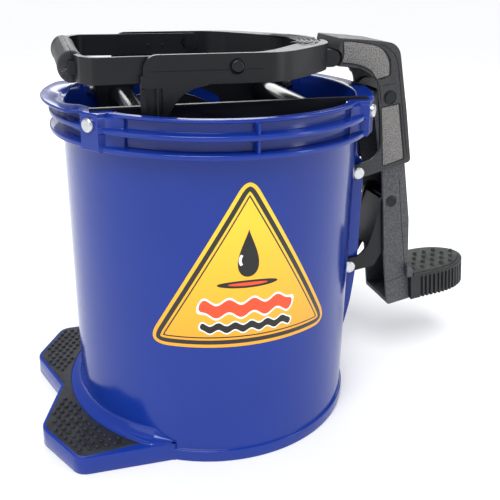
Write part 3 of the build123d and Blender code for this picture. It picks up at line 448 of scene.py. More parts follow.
def step_between(value, low, high):
    """0 below low, 1 above high, and 3t^2 - 2t^3 between."""
    t = np.clip((value - low) / (high - low), 0, 1)
    return t * t * (3 - 2 * t)


# %% [markdown]
# ## The bucket
# The bucket is one moulding, so its wall is one surface: a profile carried once round the axis.
# The profile goes over the floor, up the inside, over the rim, in and out of two fins, and down to
# the foot band. What changes on the way round is only how far out three groups of its points lie:
# the rim (with two lips), the fins, and the recesses between them, which the four bolt bosses, the
# blocks beside them and the two webs fill. The pour lip's spout lowers the inner edge.

# %% Bucket sizes
RIM_Z, RIM_R, BASE_R = 310.0, 137.6, 133.7
WALL, FLOOR_Z = 4.0, 5.0
BAND_R, BAND_Z = 136.2, 10.9
FIN_R, FIN_TOPS, FIN_THICK = 148.6, (298.7, 284.0), 4.5
RIM_THICK, FOOT_UNDER = 3.0, 1.5
BOSS_R, BOSS_ANGLES = 151.0, np.radians((36.5, 143.5, 216.5, 323.5))
BOSS_HALF, BOSS_FLAT = np.arctan(10.5 / BOSS_R), 0.12  # radians each side of its middle
BLOCK_AT, BLOCK_HALF = 0.1222, 0.0628                  # radians from a boss to the block beside it
BLOCK_OUT, BLOCK_SLOPE = 11.0, 45.0                    # mm out of the wall, and less per radian
FACET_HALF, FACET_DEEP, FACET_Z = 0.0973, 1.6, (270.0, 279.5)  # the flat inside behind each boss
WEB_ANGLES, WEB_HALF, WEB_OUT = (np.pi / 2, 1.5 * np.pi), 0.0107, 9.0
RIM_LIP, POUR_LIP, PEDAL_LIP = 4.6, 12.8, 8.0          # mm that the rim reaches out of the wall
LIP_HALF, SPOUT_HALF, SPOUT_DEEP = np.radians(33.5), np.radians(24), 6.0


def turn_from(angle, axis):
    """Signed angle from an axis direction, between -pi and pi."""
    return (angle - axis + np.pi) % (2 * np.pi) - np.pi


def patch(angle, axis, half, soft=0.0035):
    """1 within half of an axis direction and 0 outside, over a soft edge."""
    return step_between(half - np.abs(turn_from(angle, axis)), -soft, soft)


# %% Bucket wall
def bucket_angles():
    """Directions round the bucket: every degree, and bunched where a block or web has an edge."""
    edges = [boss + side * half for boss in BOSS_ANGLES for side in (-1, 1)
             for half in (0.0597, 0.0615, FACET_HALF, BLOCK_AT + BLOCK_HALF)]
    edges += [axis + side * WEB_HALF for axis in WEB_ANGLES for side in (-1, 1)]
    bunch = np.array([-0.004, -0.0022, -0.0008, 0.0008, 0.0022, 0.004])
    near = (np.array(edges)[:, None] + bunch).ravel() % (2 * np.pi)
    return np.unique(np.round(np.concatenate([np.radians(np.arange(0, 360, 1.0)), near]), 5))


def bucket_profile(angle):
    """Corners of the profile, (corner, direction, (r, z)), and their radii."""
    boss = sum(patch(angle, axis, BOSS_HALF) for axis in BOSS_ANGLES)
    boss_face = sum(patch(angle, axis, BOSS_FLAT) * BOSS_R / np.cos(turn_from(angle, axis) * (
        patch(angle, axis, BOSS_FLAT) > 0.5)) for axis in BOSS_ANGLES)
    block = sum(patch(angle, axis + side * BLOCK_AT, BLOCK_HALF)
                * (BLOCK_OUT - BLOCK_SLOPE * np.abs(turn_from(angle, axis)))
                for axis, side in zip(BOSS_ANGLES, (1, -1, 1, -1)))
    web = sum(patch(angle, axis, WEB_HALF) for axis in WEB_ANGLES)
    facet = sum(patch(angle, axis, FACET_HALF) for axis in BOSS_ANGLES)
    pour = step_between(LIP_HALF - np.abs(turn_from(angle, np.pi)), 0, 0.12)
    pedal = step_between(LIP_HALF - np.abs(turn_from(angle, 0.0)), 0, 0.1)
    spout = step_between(SPOUT_HALF - np.abs(turn_from(angle, np.pi)), 0, 0.3)
    rim = RIM_R + RIM_LIP + POUR_LIP * pour + PEDAL_LIP * pedal
    rim = np.where(boss > 0, np.maximum(rim, rim + (boss_face - rim) * boss), rim)
    recess = RIM_R + np.maximum(np.maximum(block, 0), WEB_OUT * web)
    recess = recess + (boss_face - recess) * boss
    fin = FIN_R + (boss_face - FIN_R) * boss
    inner = RIM_R - WALL - FACET_DEEP * facet
    mouth = np.minimum(RIM_R + 6.0, rim - 2.5)
    corners = [
        (0, FLOOR_Z, 0), (BASE_R - WALL, FLOOR_Z, 6), (RIM_R - WALL - 0.6, FACET_Z[0], 2),
        (inner, FACET_Z[1], 3), (inner, RIM_Z - SPOUT_DEEP * spout, 2), (mouth + 2 * spout, RIM_Z, 5),
        (rim, RIM_Z, 1.3), (rim, RIM_Z - RIM_THICK, 1.3), (recess, RIM_Z - RIM_THICK, 1)]
    for top, below in zip(FIN_TOPS, (recess, RIM_R - 0.4)):
        corners += [(recess, top, 1), (fin, top, 1.4), (fin, top - FIN_THICK, 1.4),
                    (below, top - FIN_THICK, 1.2)]
    corners += [
        (BASE_R + 0.1, BAND_Z, 1), (BAND_R, BAND_Z, 1.2), (BAND_R, 0, 1.2), (BAND_R - 6, 0, 0.8),
        (BAND_R - 8, FOOT_UNDER, 0.8), (0, FOOT_UNDER, 0)]
    flat = np.ones_like(angle)
    points = np.array([np.stack([r * flat, z * flat], axis=-1) for r, z, _ in corners])
    return points, [radius for _, _, radius in corners]


around = bucket_angles()
corners, radii = bucket_profile(around)
rows = round_corners(corners, radii, steps=4)
shell = np.stack([rows[..., 0] * np.cos(around), rows[..., 0] * np.sin(around), rows[..., 1]], axis=-1)
bucket = make_piece("bucket_wall", "bucket", "blue_polypropylene", shell.reshape(-1, 3),
                    grid_faces(len(rows), len(around), wrap=True))
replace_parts(bucket, "bucket_body")

# %% [markdown]
# Behind the bucket two upright ears carry the linkage's bolts. Each is a flat plate cut to an
# outline, so it is a slab: one outline, inset a little at both faces to round its edges, and laid
# on its side. Two level webs tie the ears to each other and to the wall.

# %% Ears and webs
def on_side(points_faces):
    """A slab built upwards, laid over so that its height runs along Y."""
    points, faces = points_faces
    return points[:, [0, 2, 1]], faces


def both_sides(points_faces):
    """The part and its mirror image in the plane y = 0."""
    points, faces = points_faces
    return joined([(points, faces), (points * (1, -1, 1), [face[::-1] for face in faces])])


def rounded_outline(corners, radii, steps=5):
    """A closed outline with rounded corners, anticlockwise."""
    return anticlockwise(round_corners(np.array(corners, dtype=float), radii, steps, closed=True))


EAR_IN, EAR_OUT, EAR_WEB_Z = 13.0, 18.0, (173.0, 91.0)
ear_outline = rounded_outline(
    [(134.5, 280.5), (143.5, 280.5), (145.8, 241), (153.5, 232), (153.6, 136), (151.7, 112),
     (148, 79), (141.5, 50), (133.6, 37)], [1, 1.5, 6, 6, 10, 10, 10, 10, 2])
ear = on_side(slab(ear_outline, [(0.7, EAR_IN), (0.2, EAR_IN + 0.2), (0, EAR_IN + 0.7),
                                 (0, EAR_OUT - 0.7), (0.2, EAR_OUT - 0.2), (0.7, EAR_OUT)]))
web_outline = rounded_outline([(134.5, -16), (147, -16), (147, 16), (134.5, 16)], 1)
webs = [slab(web_outline, [(0.3, z - 1.5), (0, z - 1.2), (0, z + 1.2), (0.3, z + 1.5)])
        for z in EAR_WEB_Z]
make_piece("bucket_ears", "bucket", "blue_polypropylene",
           *joined([both_sides(ear), *webs]))

# %% [markdown]
# ## The foot plate
# Someone steps on this plate to hold the bucket still. Its plan is a crescent round the back of
# the wall with two lobes and a notch. A coved band fills the corner between plate and wall: its
# width follows the plan, so it narrows to nothing where the lobes run out along the wall.

# %% Foot plate
FOOT_Z, FOOT_INNER_R = 17.2, 131.9
foot_edge = round_corners(np.array([(-64.2, 120.0), (-148.1, 118.0), (-177.1, 64.0), (-156.0, 0.0),
                                    (-177.1, -64.0), (-148.1, -118.0), (-64.2, -120.0)]),
                          [0, 9, 9, 4, 9, 9, 0], steps=8)
back = np.radians(np.linspace(241.8, 118.2, 90))
foot_outline = anticlockwise(np.concatenate([
    foot_edge, FOOT_INNER_R * np.column_stack([np.cos(back), np.sin(back)])[1:-1]]))
foot = slab(foot_outline, [(0.9, 0), (0.3, 0.3), (0, 0.9), (0, FOOT_Z - 1.2), (0.3, FOOT_Z - 0.4),
                           (1.1, FOOT_Z)])
make_piece("foot_plate", "bucket", "blue_polypropylene", *foot)

# %% Cove between the plate and the wall
COVE_TURN, COVE_R, COVE_SIDE_Y, COVE_WIDE = np.radians(62.6), 145.4, 117.6, 12.3
COVE_START_R = BASE_R - 0.6
cove_angle = np.pi + np.linspace(-COVE_TURN, COVE_TURN, 181)
side_line = COVE_SIDE_Y / np.maximum(np.abs(np.sin(cove_angle)), 1e-3)
cove_out = np.minimum(COVE_R, side_line) - COVE_START_R
cove_rise = np.array([(0.0, 17.0), (0.04, 12.0), (0.12, 7.6), (0.25, 4.7), (0.45, 3.0), (0.68, 2.2),
                      (0.84, 1.7), (0.94, 1.1), (0.99, 0.4), (1.0, -1.0)])
cove_r = COVE_START_R + cove_rise[:, :1] * cove_out
cove_z = FOOT_Z + cove_rise[:, 1:] * np.clip(cove_out / COVE_WIDE, 0.02, 1)
cove = np.stack([cove_r * np.cos(cove_angle), cove_r * np.sin(cove_angle), cove_z], axis=-1)
make_piece("foot_cove", "bucket", "blue_polypropylene", cove.reshape(-1, 3),
           grid_faces(len(cove_rise), len(cove_angle), wrap=False))

# %% [markdown]
# The rubber pad fills the lobes, with a plain margin and a plain neck, and studs that grip a shoe.
# Its outline is the plate's, moved in by 3 mm and closed by an arc along the cove. A stud is a small
# dome of eight sides. The studs stand on a staggered grid, kept where the even-odd rule says that a
# place is inside the pad and well away from its edge.

# %% Foot pad
def inside(outline, places, margin):
    """True where a place is inside by the even-odd rule and further than margin from the edge."""
    ax, ay = outline.T
    bx, by = np.roll(outline, -1, axis=0).T
    px, py = places[:, :1], places[:, 1:]
    crosses = (ay > py) != (by > py)
    rise = np.where(by == ay, 1e-9, by - ay)
    odd = np.sum(crosses & (px < ax + (py - ay) / rise * (bx - ax)), axis=1) % 2 == 1
    along = np.clip(((px - ax) * (bx - ax) + (py - ay) * (by - ay))
                    / np.maximum((bx - ax) ** 2 + (by - ay) ** 2, 1e-9), 0, 1)
    gap = np.hypot(px - ax - along * (bx - ax), py - ay - along * (by - ay)).min(axis=1)
    return odd & (gap > margin)


def studs(places, rings):
    """A small eight-sided dome at every place; rings is [(radius, height), ...] to its crown."""
    turn = np.arange(8) * np.pi / 4 + 0.2
    dome = np.concatenate([np.column_stack([r * np.cos(turn), r * np.sin(turn), np.full(8, h)])
                           for r, h in rings])
    faces = grid_faces(len(rings), 8, wrap=True)
    base = np.column_stack([places, np.zeros(len(places))])
    points = (base[:, None] + dome).reshape(-1, 3)
    shifted = faces + (np.arange(len(places)) * len(dome))[:, None, None]
    return points, shifted.reshape(-1, 4).tolist()


PAD_Z, PAD_FRONT_X, PAD_ARC = 17.8, -93.6, 145.6
STUD_PITCH, STUD_EDGE, PLAIN_NECK = 7.6, 3.3, 24.0
pad_edge = inset(foot_outline, 3.05)
pad_edge = pad_edge[(pad_edge[:, 0] < PAD_FRONT_X) & (np.hypot(*pad_edge.T) > PAD_ARC + 0.9)]
turn_of = np.arctan2(pad_edge[:, 1], pad_edge[:, 0]) % (2 * np.pi)
pad_edge = pad_edge[np.argsort(turn_of)]
reach = np.arccos(PAD_FRONT_X / PAD_ARC)
arc = np.linspace(2 * np.pi - reach, reach, 100)
pad_outline = anticlockwise(np.concatenate([
    pad_edge, PAD_ARC * np.column_stack([np.cos(arc), np.sin(arc)])]))
pad = slab(pad_outline, [(0, FOOT_Z - 1.0), (0, PAD_Z - 0.5), (0.2, PAD_Z - 0.15), (0.6, PAD_Z)])
row, column = np.mgrid[-16:17, 0:14]
stud_grid = np.stack([-176 + (column + 0.5 * (row % 2)) * STUD_PITCH, row * STUD_PITCH * 0.88], axis=-1)
stud_grid = stud_grid.reshape(-1, 2)
keep = inside(pad_outline, stud_grid, STUD_EDGE) & (np.abs(stud_grid[:, 1]) > PLAIN_NECK)
pad_studs = studs(stud_grid[keep], [(2.1, PAD_Z - 0.2), (1.8, PAD_Z + 1.5), (1.1, PAD_Z + 2.0),
                                    (0.0, PAD_Z + 2.1)])
foot_pad = make_piece("foot_pad", "bucket", "pad_rubber", *joined([pad, pad_studs]))
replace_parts(foot_pad, "anti_slip_pad")
print("studs on the foot pad:", int(keep.sum()))

# %% [markdown]
# Three short keys, moulded darker, show where the pad's pegs go through the plate.

# %% Pad keys
def short_bar(start, end, half_width, low, high):
    """A flat bar with round ends between two plan points."""
    start, end = np.array(start), np.array(end)
    heading = np.arctan2(*(end - start)[::-1])
    half_circle = heading + np.linspace(-np.pi / 2, np.pi / 2, 7)
    tip = np.column_stack([np.cos(half_circle), np.sin(half_circle)]) * half_width
    return slab(anticlockwise(np.concatenate([end + tip, start - tip])),
                [(0, low), (0, high - 0.2), (0.2, high)])


keys = [short_bar(a, b, 0.9, PAD_Z - 0.3, PAD_Z + 0.35) for a, b in (
    ((-160.4, 57.7), (-150.5, 51.4)), ((-161.5, -56.4), (-152.3, -51.3)),
    ((-135.4, -106.2), (-123.4, -101.8)))]
make_piece("pad_keys", "bucket", "pedal_moulding", *joined(keys))

# %% [markdown]
# ## The safety label
# A vinyl sticker in the shape of a rounded triangle, wrapped on the wall. It is drawn flat, as a
# length round the wall and a height, and then bent: the direction is that length over the wall's
# radius. Its rings are smaller copies of its outline, closer near the edge. Each point's distance
# from the edge is kept as the UV map's first number, so that the black border lines are bands of
# that number and follow the edge exactly.

# %% Label surface
LABEL_MIDDLE, LABEL_LOW, LABEL_WIDE, LABEL_TALL = -4.0, 114.0, 176.0, 153.0


def wall_radius(z):
    """Outside of the tapering wall at a height."""
    return BASE_R + (RIM_R - BASE_R) * (z - BAND_Z) / (RIM_Z - 3 - BAND_Z)


def wrapped(flat, lift):
    """(length round the wall, height) points bent onto the wall, lifted off it in mm."""
    radius = wall_radius(flat[:, 1]) + lift
    direction = flat[:, 0] / wall_radius(flat[:, 1])
    return np.column_stack([radius * np.sin(direction), -radius * np.cos(direction), flat[:, 1]])


label_corners = [(LABEL_MIDDLE - LABEL_WIDE / 2, LABEL_LOW), (LABEL_MIDDLE + LABEL_WIDE / 2, LABEL_LOW),
                 (LABEL_MIDDLE, LABEL_LOW + LABEL_TALL)]
label_edge = round_corners(np.array(label_corners), [21, 21, 19], steps=16, closed=True)
fine_edge = []
for start, end in zip(label_edge, np.roll(label_edge, -1, axis=0)):
    count = max(int(np.hypot(*(end - start)) / 3), 1)
    fine_edge.append(start + (end - start) * np.linspace(0, 1, count, endpoint=False)[:, None])
label_edge = anticlockwise(np.concatenate(fine_edge))
centre = label_edge.mean(axis=0)
shares = 1 - np.linspace(0, 1, 64) ** 1.25
label_flat = (centre + (label_edge - centre) * shares[:, None, None]).reshape(-1, 2)
side = np.roll(label_edge, -1, axis=0) - label_edge
offset = label_flat[:, None] - label_edge
along = np.clip(np.sum(offset * side, axis=-1) / np.sum(side * side, axis=-1), 0, 1)
depth = np.linalg.norm(offset - along[..., None] * side, axis=-1).min(axis=1)
label_uv = np.column_stack([depth / 100, (label_flat[:, 1] - LABEL_LOW) / LABEL_TALL])
label_points = wrapped(label_flat, 0.35)
label_points[:len(label_edge)] = wrapped(label_edge, 0.05)

# %% [markdown]
# The label's colours: amber that pales upwards, a broad and a narrow black line, under clear film
# with a soft gloss. Each line is a pair of steps of the inset, which a constant colour ramp holds.

# %% Label finish
tree, shader, _ = start_finish("printed_vinyl", "label_vinyl")
surface = add_node(tree, "ShaderNodeUVMap", uv_map="surface")
split = add_node(tree, "ShaderNodeSeparateXYZ", {0: surface.outputs[0]})
amber = add_node(tree, "ShaderNodeValToRGB", {0: split.outputs[1]})
amber.color_ramp.elements[0].color = linear("#f6a91c")
amber.color_ramp.elements[1].color = linear("#ffcf2e")
amber.color_ramp.elements[0].position, amber.color_ramp.elements[1].position = 0.05, 0.75
lines = add_node(tree, "ShaderNodeValToRGB", {0: split.outputs[0]})
lines.color_ramp.interpolation = "CONSTANT"
lines.color_ramp.elements[0].position = 0.0
lines.color_ramp.elements[0].color = (0, 0, 0, 1)
lines.color_ramp.elements[1].position = 0.03
lines.color_ramp.elements[1].color = (1, 1, 1, 1)
for place, level in ((0.067, 0.0), (0.086, 1.0), (0.1, 0.0)):
    lines.color_ramp.elements.new(place).color = (level, level, level, 1)
printed = add_node(tree, "ShaderNodeMix", {0: lines.outputs[0], 6: amber.outputs[0],
                                           7: linear("#15130f")}, data_type="RGBA")
tree.links.new(printed.outputs[2], shader.inputs["Base Color"])
shader.inputs["Roughness"].default_value = 0.3
shader.inputs["Coat Weight"].default_value = 0.3
label = make_piece("label_skin", "bucket", "printed_vinyl", label_points,
                   grid_faces(len(shares), len(label_edge), wrap=True), uv=label_uv)
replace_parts(label, "safety_label")

# %% [markdown]
# Instead of words the label carries plain signs for water: a drop over a puddle, and two rolling
# waves, one red and one black, each with a white surround. A sign is a flat shape filled from its
# middle and bent onto the wall a little above the vinyl, in one of two layers of ink.

# %% Label inks
for name, tones in (("black_ink", ("#100f0e", "#1c1a18")), ("red_ink", ("#f04a22", "#f4572c")),
                    ("white_ink", ("#fbfbf8", "#ffffff"))):
    patchy_finish(name, "label_vinyl", 15, 2.0, tones, 0.32)


def wave_band(middle_z, half_length, half_width, rise, length, grow):
    """A band that follows a sine, as rows across it: grow widens and lengthens it all round."""
    along = np.linspace(-half_length - grow, half_length + grow, 120)
    end = np.sqrt(np.clip(1 - np.clip((np.abs(along) - half_length + half_width)
                                      / (half_width + grow), 0, 1) ** 2, 0.0, 1))
    line = middle_z + rise * np.sin(2 * np.pi * along / length)
    across = np.linspace(-1, 1, 5)[:, None] * (half_width + grow) * end
    points = np.stack([LABEL_MIDDLE + along + 0 * across, line + across], axis=-1)
    return points.reshape(-1, 2), grid_faces(5, len(along), wrap=False)


def filled(outline, rings=8):
    """An outline filled from its middle by smaller copies of itself."""
    middle = outline.mean(axis=0)
    share = np.linspace(1, 0, rings)[:, None, None]
    points = (middle + (outline - middle) * share).reshape(-1, 2)
    return points, grid_faces(rings, len(outline), wrap=True)


def label_oval(across, up, z, width, height):
    """Points of an oval about the label's middle line, from the cosines and sines given."""
    return np.column_stack([LABEL_MIDDLE + width * across, z + height * up])


DROP_Z, SHINE_Z, PUDDLE_Z = 199.0, 193.0, 171.5
turn = np.linspace(0, 2 * np.pi, 64, endpoint=False)
drop = label_oval(np.sin(turn) * np.sin(turn / 2) ** 1.6, np.cos(turn), DROP_Z, 13, 21)
puddle = label_oval(np.cos(turn), np.sin(turn), PUDDLE_Z, 26, 3.4)
puddle_hole = label_oval(np.cos(turn), np.sin(turn), PUDDLE_Z + 0.1, 17, 1.5)
turn = np.linspace(0.9, 2.2, 24)
shine = np.concatenate([label_oval(-np.sin(turn), np.cos(turn), SHINE_Z, 8.3, 8.3),
                        label_oval(-np.sin(turn), np.cos(turn), SHINE_Z, 5.9, 6.6)[::-1]])
RED_WAVE, BLACK_WAVE = (150, 41, 5.6, 2.6, 21), (132.5, 40, 3.2, 1.6, 14)
FIRST_INK, SECOND_INK = 0.42, 0.5
for name, finish, (flat, faces), lift in (
        ("label_drop", "black_ink", filled(drop), FIRST_INK),
        ("label_puddle", "black_ink", filled(puddle), FIRST_INK),
        ("label_puddle_middle", "red_ink", filled(puddle_hole), SECOND_INK),
        ("label_drop_shine", "white_ink", filled(shine), SECOND_INK),
        ("label_wave_red_surround", "white_ink", wave_band(*RED_WAVE, 2.0), FIRST_INK),
        ("label_wave_red", "red_ink", wave_band(*RED_WAVE, 0), SECOND_INK),
        ("label_wave_black_surround", "white_ink", wave_band(*BLACK_WAVE, 1.4), FIRST_INK),
        ("label_wave_black", "black_ink", wave_band(*BLACK_WAVE, 0), SECOND_INK)):
    make_piece(name, "bucket", finish, wrapped(flat, lift), faces)

# %% [markdown]
# ## Structural mouldings
# The yoke, the handle, the side plates and the linkage have exactly the CAD's shape, but a real
# moulding's edges are rounded. A copy of the CAD mesh is merged, its flat triangles are joined into
# whole faces, and a narrow bevel rounds each sharp edge. The copy stands for the CAD node.

# %% Mouldings with rounded edges
def moulding(node, body, finish, edge_mm):
    """A copy of a CAD node with its sharp edges rounded to edge_mm."""
    mesh = cad_nodes[node].data.copy()
    mesh.name = node + "_moulding"
    shape = bmesh.new()
    shape.from_mesh(mesh)
    bmesh.ops.remove_doubles(shape, verts=shape.verts, dist=1e-5)
    bmesh.ops.dissolve_limit(shape, angle_limit=np.radians(1.0), verts=shape.verts,
                             edges=shape.edges, delimit={"NORMAL"})
    shape.to_mesh(mesh)
    shape.free()
    mesh.materials.clear()
    piece = placed(node + "_moulding", mesh, body, finish, sharp_degrees=40)
    rounding = piece.modifiers.new("rounded_edges", "BEVEL")
    rounding.width = edge_mm / 1000
    rounding.segments = 2
    rounding.limit_method = "ANGLE"
    rounding.angle_limit = np.radians(40)
    rounding.use_clamp_overlap = True
    rounding.harden_normals = True
    rounding.miter_outer = "MITER_ARC"
    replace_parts(piece, node)


for node, body, finish, edge_mm in (
        ("yoke_ring", "yoke", "satin_charcoal_plastic", 0.6),
        ("bail_frame", "bail", "satin_charcoal_plastic", 0.6),
        ("side_plate_front", "bucket", "satin_charcoal_plastic", 0.4),
        ("side_plate_back", "bucket", "satin_charcoal_plastic", 0.4),
        ("lever_casing", "lever", "dark_pebbled_plastic", 0.5),
        ("pedal_leg", "pedal_arm", "fine_pebbled_plastic", 0.5),
        ("lower_link", "lower_link", "satin_charcoal_plastic", 0.4)):
    moulding(node, body, finish, edge_mm)

# %% [markdown]
# ## Small moulded detail
# Parting lines, panel borders and sink rings are what tell the eye that a part was moulded. Each
# line here is a bead: a thin round rod carried along a path, with its ends drawn in to a point. At
# every place on the path two directions square to it are known, one out of the surface and one
# along the surface, and the bead's ring is their cosine and sine mix.

# %% Beads
def bead(path, outward, radius, sides=8, closed=False):
    """A round bead along a path: point = place + taper * radius * (cos * outward + sin * side)."""
    path = np.asarray(path, dtype=float)
    if closed:
        ahead = np.roll(path, -1, axis=0) - np.roll(path, 1, axis=0)
    else:
        ahead = np.gradient(path, axis=0)
    ahead /= np.linalg.norm(ahead, axis=1, keepdims=True)
    out = np.broadcast_to(np.asarray(outward, dtype=float), path.shape)
    side = np.cross(ahead, out)
    taper = np.ones(len(path))
    if not closed:
        taper[[0, -1]] = 0.02
    turn = np.arange(sides) * 2 * np.pi / sides
    ring = (np.cos(turn)[:, None, None] * out + np.sin(turn)[:, None, None] * side)
    points = path + radius * taper[:, None] * ring
    faces = grid_faces(sides, len(path), wrap=closed)
    last = len(path) * (sides - 1)
    column = np.arange(len(path) if closed else len(path) - 1)
    after = (column + 1) % len(path)
    seam = np.stack([last + column, last + after, after, column], axis=-1)
    return points.reshape(-1, 3), np.concatenate([faces, seam]).tolist()


def smooth_line(corners, radii, steps=6, spacing=3.0, closed=False):
    """A polyline with rounded corners and a point at least every few millimetres."""
    line = round_corners(np.array(corners, dtype=float), radii, steps, closed)
    if closed:
        line = np.vstack([line, line[:1]])
    length = np.concatenate([[0], np.cumsum(np.linalg.norm(np.diff(line, axis=0), axis=1))])
    places = np.linspace(0, length[-1], max(int(length[-1] / spacing), 4))
    places = np.union1d(places, length)
    line = np.column_stack([np.interp(places, length, line[:, k]) for k in range(line.shape[1])])
    keep = np.concatenate([[True], np.linalg.norm(np.diff(line, axis=0), axis=1) > 0.05])
    return line[keep][:-1] if closed else line[keep]


def on_side_face(line, y):
    """A flat line of (x, z) points laid on a side face at y."""
    return np.insert(np.asarray(line, dtype=float), 1, y, axis=1)


def ring_bead(centre_xz, y, radius, thickness):
    """A raised ring on a side face."""
    turn = np.linspace(0, 2 * np.pi, 36, endpoint=False)
    ring = centre_xz + radius * np.column_stack([np.cos(turn), np.sin(turn)])
    return bead(on_side_face(ring, y), (0, np.sign(y), 0), thickness, closed=True)


# %% [markdown]
# The yoke was moulded in two halves that met at mid-height, so a fine line runs along its arms.
# The front of each arm has the step where the leg begins, and the broad nose carries curved ridges
# for a hand to push on.

# %% Yoke detail
YOKE_HIGH, YOKE_Y, NOSE_X = 354.0, 97.0, 106.5
YOKE_PARTING_Z, YOKE_BOLT = 341.2, (-3.5, 343.6)
shoulder = NOSE_X - 82
yoke_guides = np.array([(shoulder, YOKE_Y), (NOSE_X - 56, YOKE_Y * 0.895), (NOSE_X - 22, YOKE_Y * 0.575),
                        (NOSE_X, 0.0)])


def on_yoke_face(x):
    """Distance from the middle plane to the yoke's outer face at x, straight then drawn in."""
    return np.interp(x, yoke_guides[:, 0], yoke_guides[:, 1])


parting = smooth_line([(-76.0, YOKE_Y), (-40, YOKE_Y), (0, YOKE_Y), (shoulder - 4, YOKE_Y)], 0.0)
parting_line = np.column_stack([parting, np.full(len(parting), YOKE_PARTING_Z)])
steps = [np.array([(-66.3, YOKE_Y, z) for z in (342.5, 346, 350, 353)]),
         np.array([(-58.0, YOKE_Y, z) for z in (332, 336, 340.5)])]
yoke_lines = [bead(parting_line, (0, 1, 0), 0.28)] + [bead(step, (0, 1, 0), 0.25) for step in steps]
bolt_ring = [ring_bead(YOKE_BOLT, YOKE_Y, 6.3, 0.45)]
make_piece("yoke_lines", "yoke", "satin_charcoal_plastic",
           *both_sides(joined(yoke_lines + bolt_ring)))

# %% [markdown]
# The ridges on the nose are arcs about one centre behind it, 4.6 mm apart, and each runs as far as
# the nose's outline lets it. They fill the CAD's grooves a little and stand above the top plate.

# %% Nose ridges
RIDGE_CENTRE_X, RIDGE_EDGE, RIDGE_THICK = 38.5, 4.0, 0.8
ridges = []
for radius, half_degrees in ((43.0, 52), (47.3, 52), (51.9, 52), (56.5, 52), (61.1, 38), (65.7, 38)):
    turn = np.radians(np.linspace(-half_degrees, half_degrees, 60))
    x, y = RIDGE_CENTRE_X + radius * np.cos(turn), radius * np.sin(turn)
    room = np.abs(y) < on_yoke_face(x) - RIDGE_EDGE
    ridges.append(bead(np.column_stack([x, y, np.full(60, YOKE_HIGH)])[room], (0, 0, 1), RIDGE_THICK))
make_piece("nose_ridges", "yoke", "satin_charcoal_plastic", *joined(ridges))

# %% [markdown]
# The handle's band has the same parting line, and small pegs inside where its core was held.

# %% Handle detail
BAIL_Y, BAIL_MIDDLE_Z, BAIL_INSIDE_Y = 91.7, 342.0, 87.2
bail_path = [(-84, BAIL_Y), (-110, BAIL_Y + 0.4), (-121, BAIL_Y - 3.5), (-127, BAIL_Y - 13)]
bail_path = smooth_line(bail_path, [0, 12, 8, 0])
bail_line = np.column_stack([bail_path, np.full(len(bail_path), BAIL_MIDDLE_Z)])
outward = np.column_stack([-np.gradient(bail_line[:, 1]), np.gradient(bail_line[:, 0]),
                           np.zeros(len(bail_line))])
outward /= -np.linalg.norm(outward, axis=1, keepdims=True)
peg_turn = np.arange(10) * 2 * np.pi / 10


def side_peg(x, y, z, radius, height):
    """A low round peg that stands off a side wall towards the middle."""
    loops = [(radius, 0.4), (radius, -height * 0.7), (radius * 0.75, -height), (0.0, -height)]
    return (np.concatenate([np.column_stack([x + r * np.cos(peg_turn), np.full(10, y + h),
                                             z + r * np.sin(peg_turn)]) for r, h in loops]),
            grid_faces(4, 10, wrap=True).tolist())


pegs = [side_peg(x, BAIL_INSIDE_Y, BAIL_MIDDLE_Z - 1, 1.5, 1.4) for x in (-43.8, -29.7)]
make_piece("handle_lines", "bail", "satin_charcoal_plastic",
           *both_sides(joined([bead(bail_line, outward, 0.28)] + pegs)))

# %% [markdown]
# ## The hand grip
# Two shells snap round the handle's cross bar. Each is half an oval carried along the bar, closed
# by a flat back, and its panel lies a little below its border: the oval's radius is less by the
# panel's depth where the place is inside the panel, over a soft step.

# %% Grip finish
tree, shader, _ = start_finish("crosshatched_plastic", "black_plastic")
surface = add_node(tree, "ShaderNodeUVMap", uv_map="surface")
both_ways = []
for tilt in (0.7854, -0.7854):
    turned_uv = add_node(tree, "ShaderNodeMapping", {0: surface.outputs[0], "Rotation": (0, 0, tilt)})
    both_ways.append(add_node(tree, "ShaderNodeTexWave", {"Vector": turned_uv.outputs[0], "Scale": 20.0},
                              wave_profile="SIN").outputs[1])
diamonds = add_node(tree, "ShaderNodeMath", {0: both_ways[0], 1: both_ways[1]}, operation="MULTIPLY")
cut = add_node(tree, "ShaderNodeBump", {"Height": diamonds.outputs[0], "Strength": 0.9,
                                        "Distance": 0.0006})
tree.links.new(cut.outputs[0], shader.inputs["Normal"])
tone = add_node(tree, "ShaderNodeMix", {0: diamonds.outputs[0], 6: linear("#1b1c20"),
                                        7: linear("#3c3e43")}, data_type="RGBA")
tree.links.new(tone.outputs[2], shader.inputs["Base Color"])
shader.inputs["Roughness"].default_value = 0.42

# %% Grip shells
GRIP_X, GRIP_Z, GRIP_HALF, GRIP_ROUND = -130.0, 342.0, 63.0, 2.5
GRIP_ACROSS, GRIP_UP, GRIP_GAP = 11.0, 13.0, 0.15
PANEL_HALF, PANEL_TURN, PANEL_DEEP = 55.0, np.radians(66), 0.7


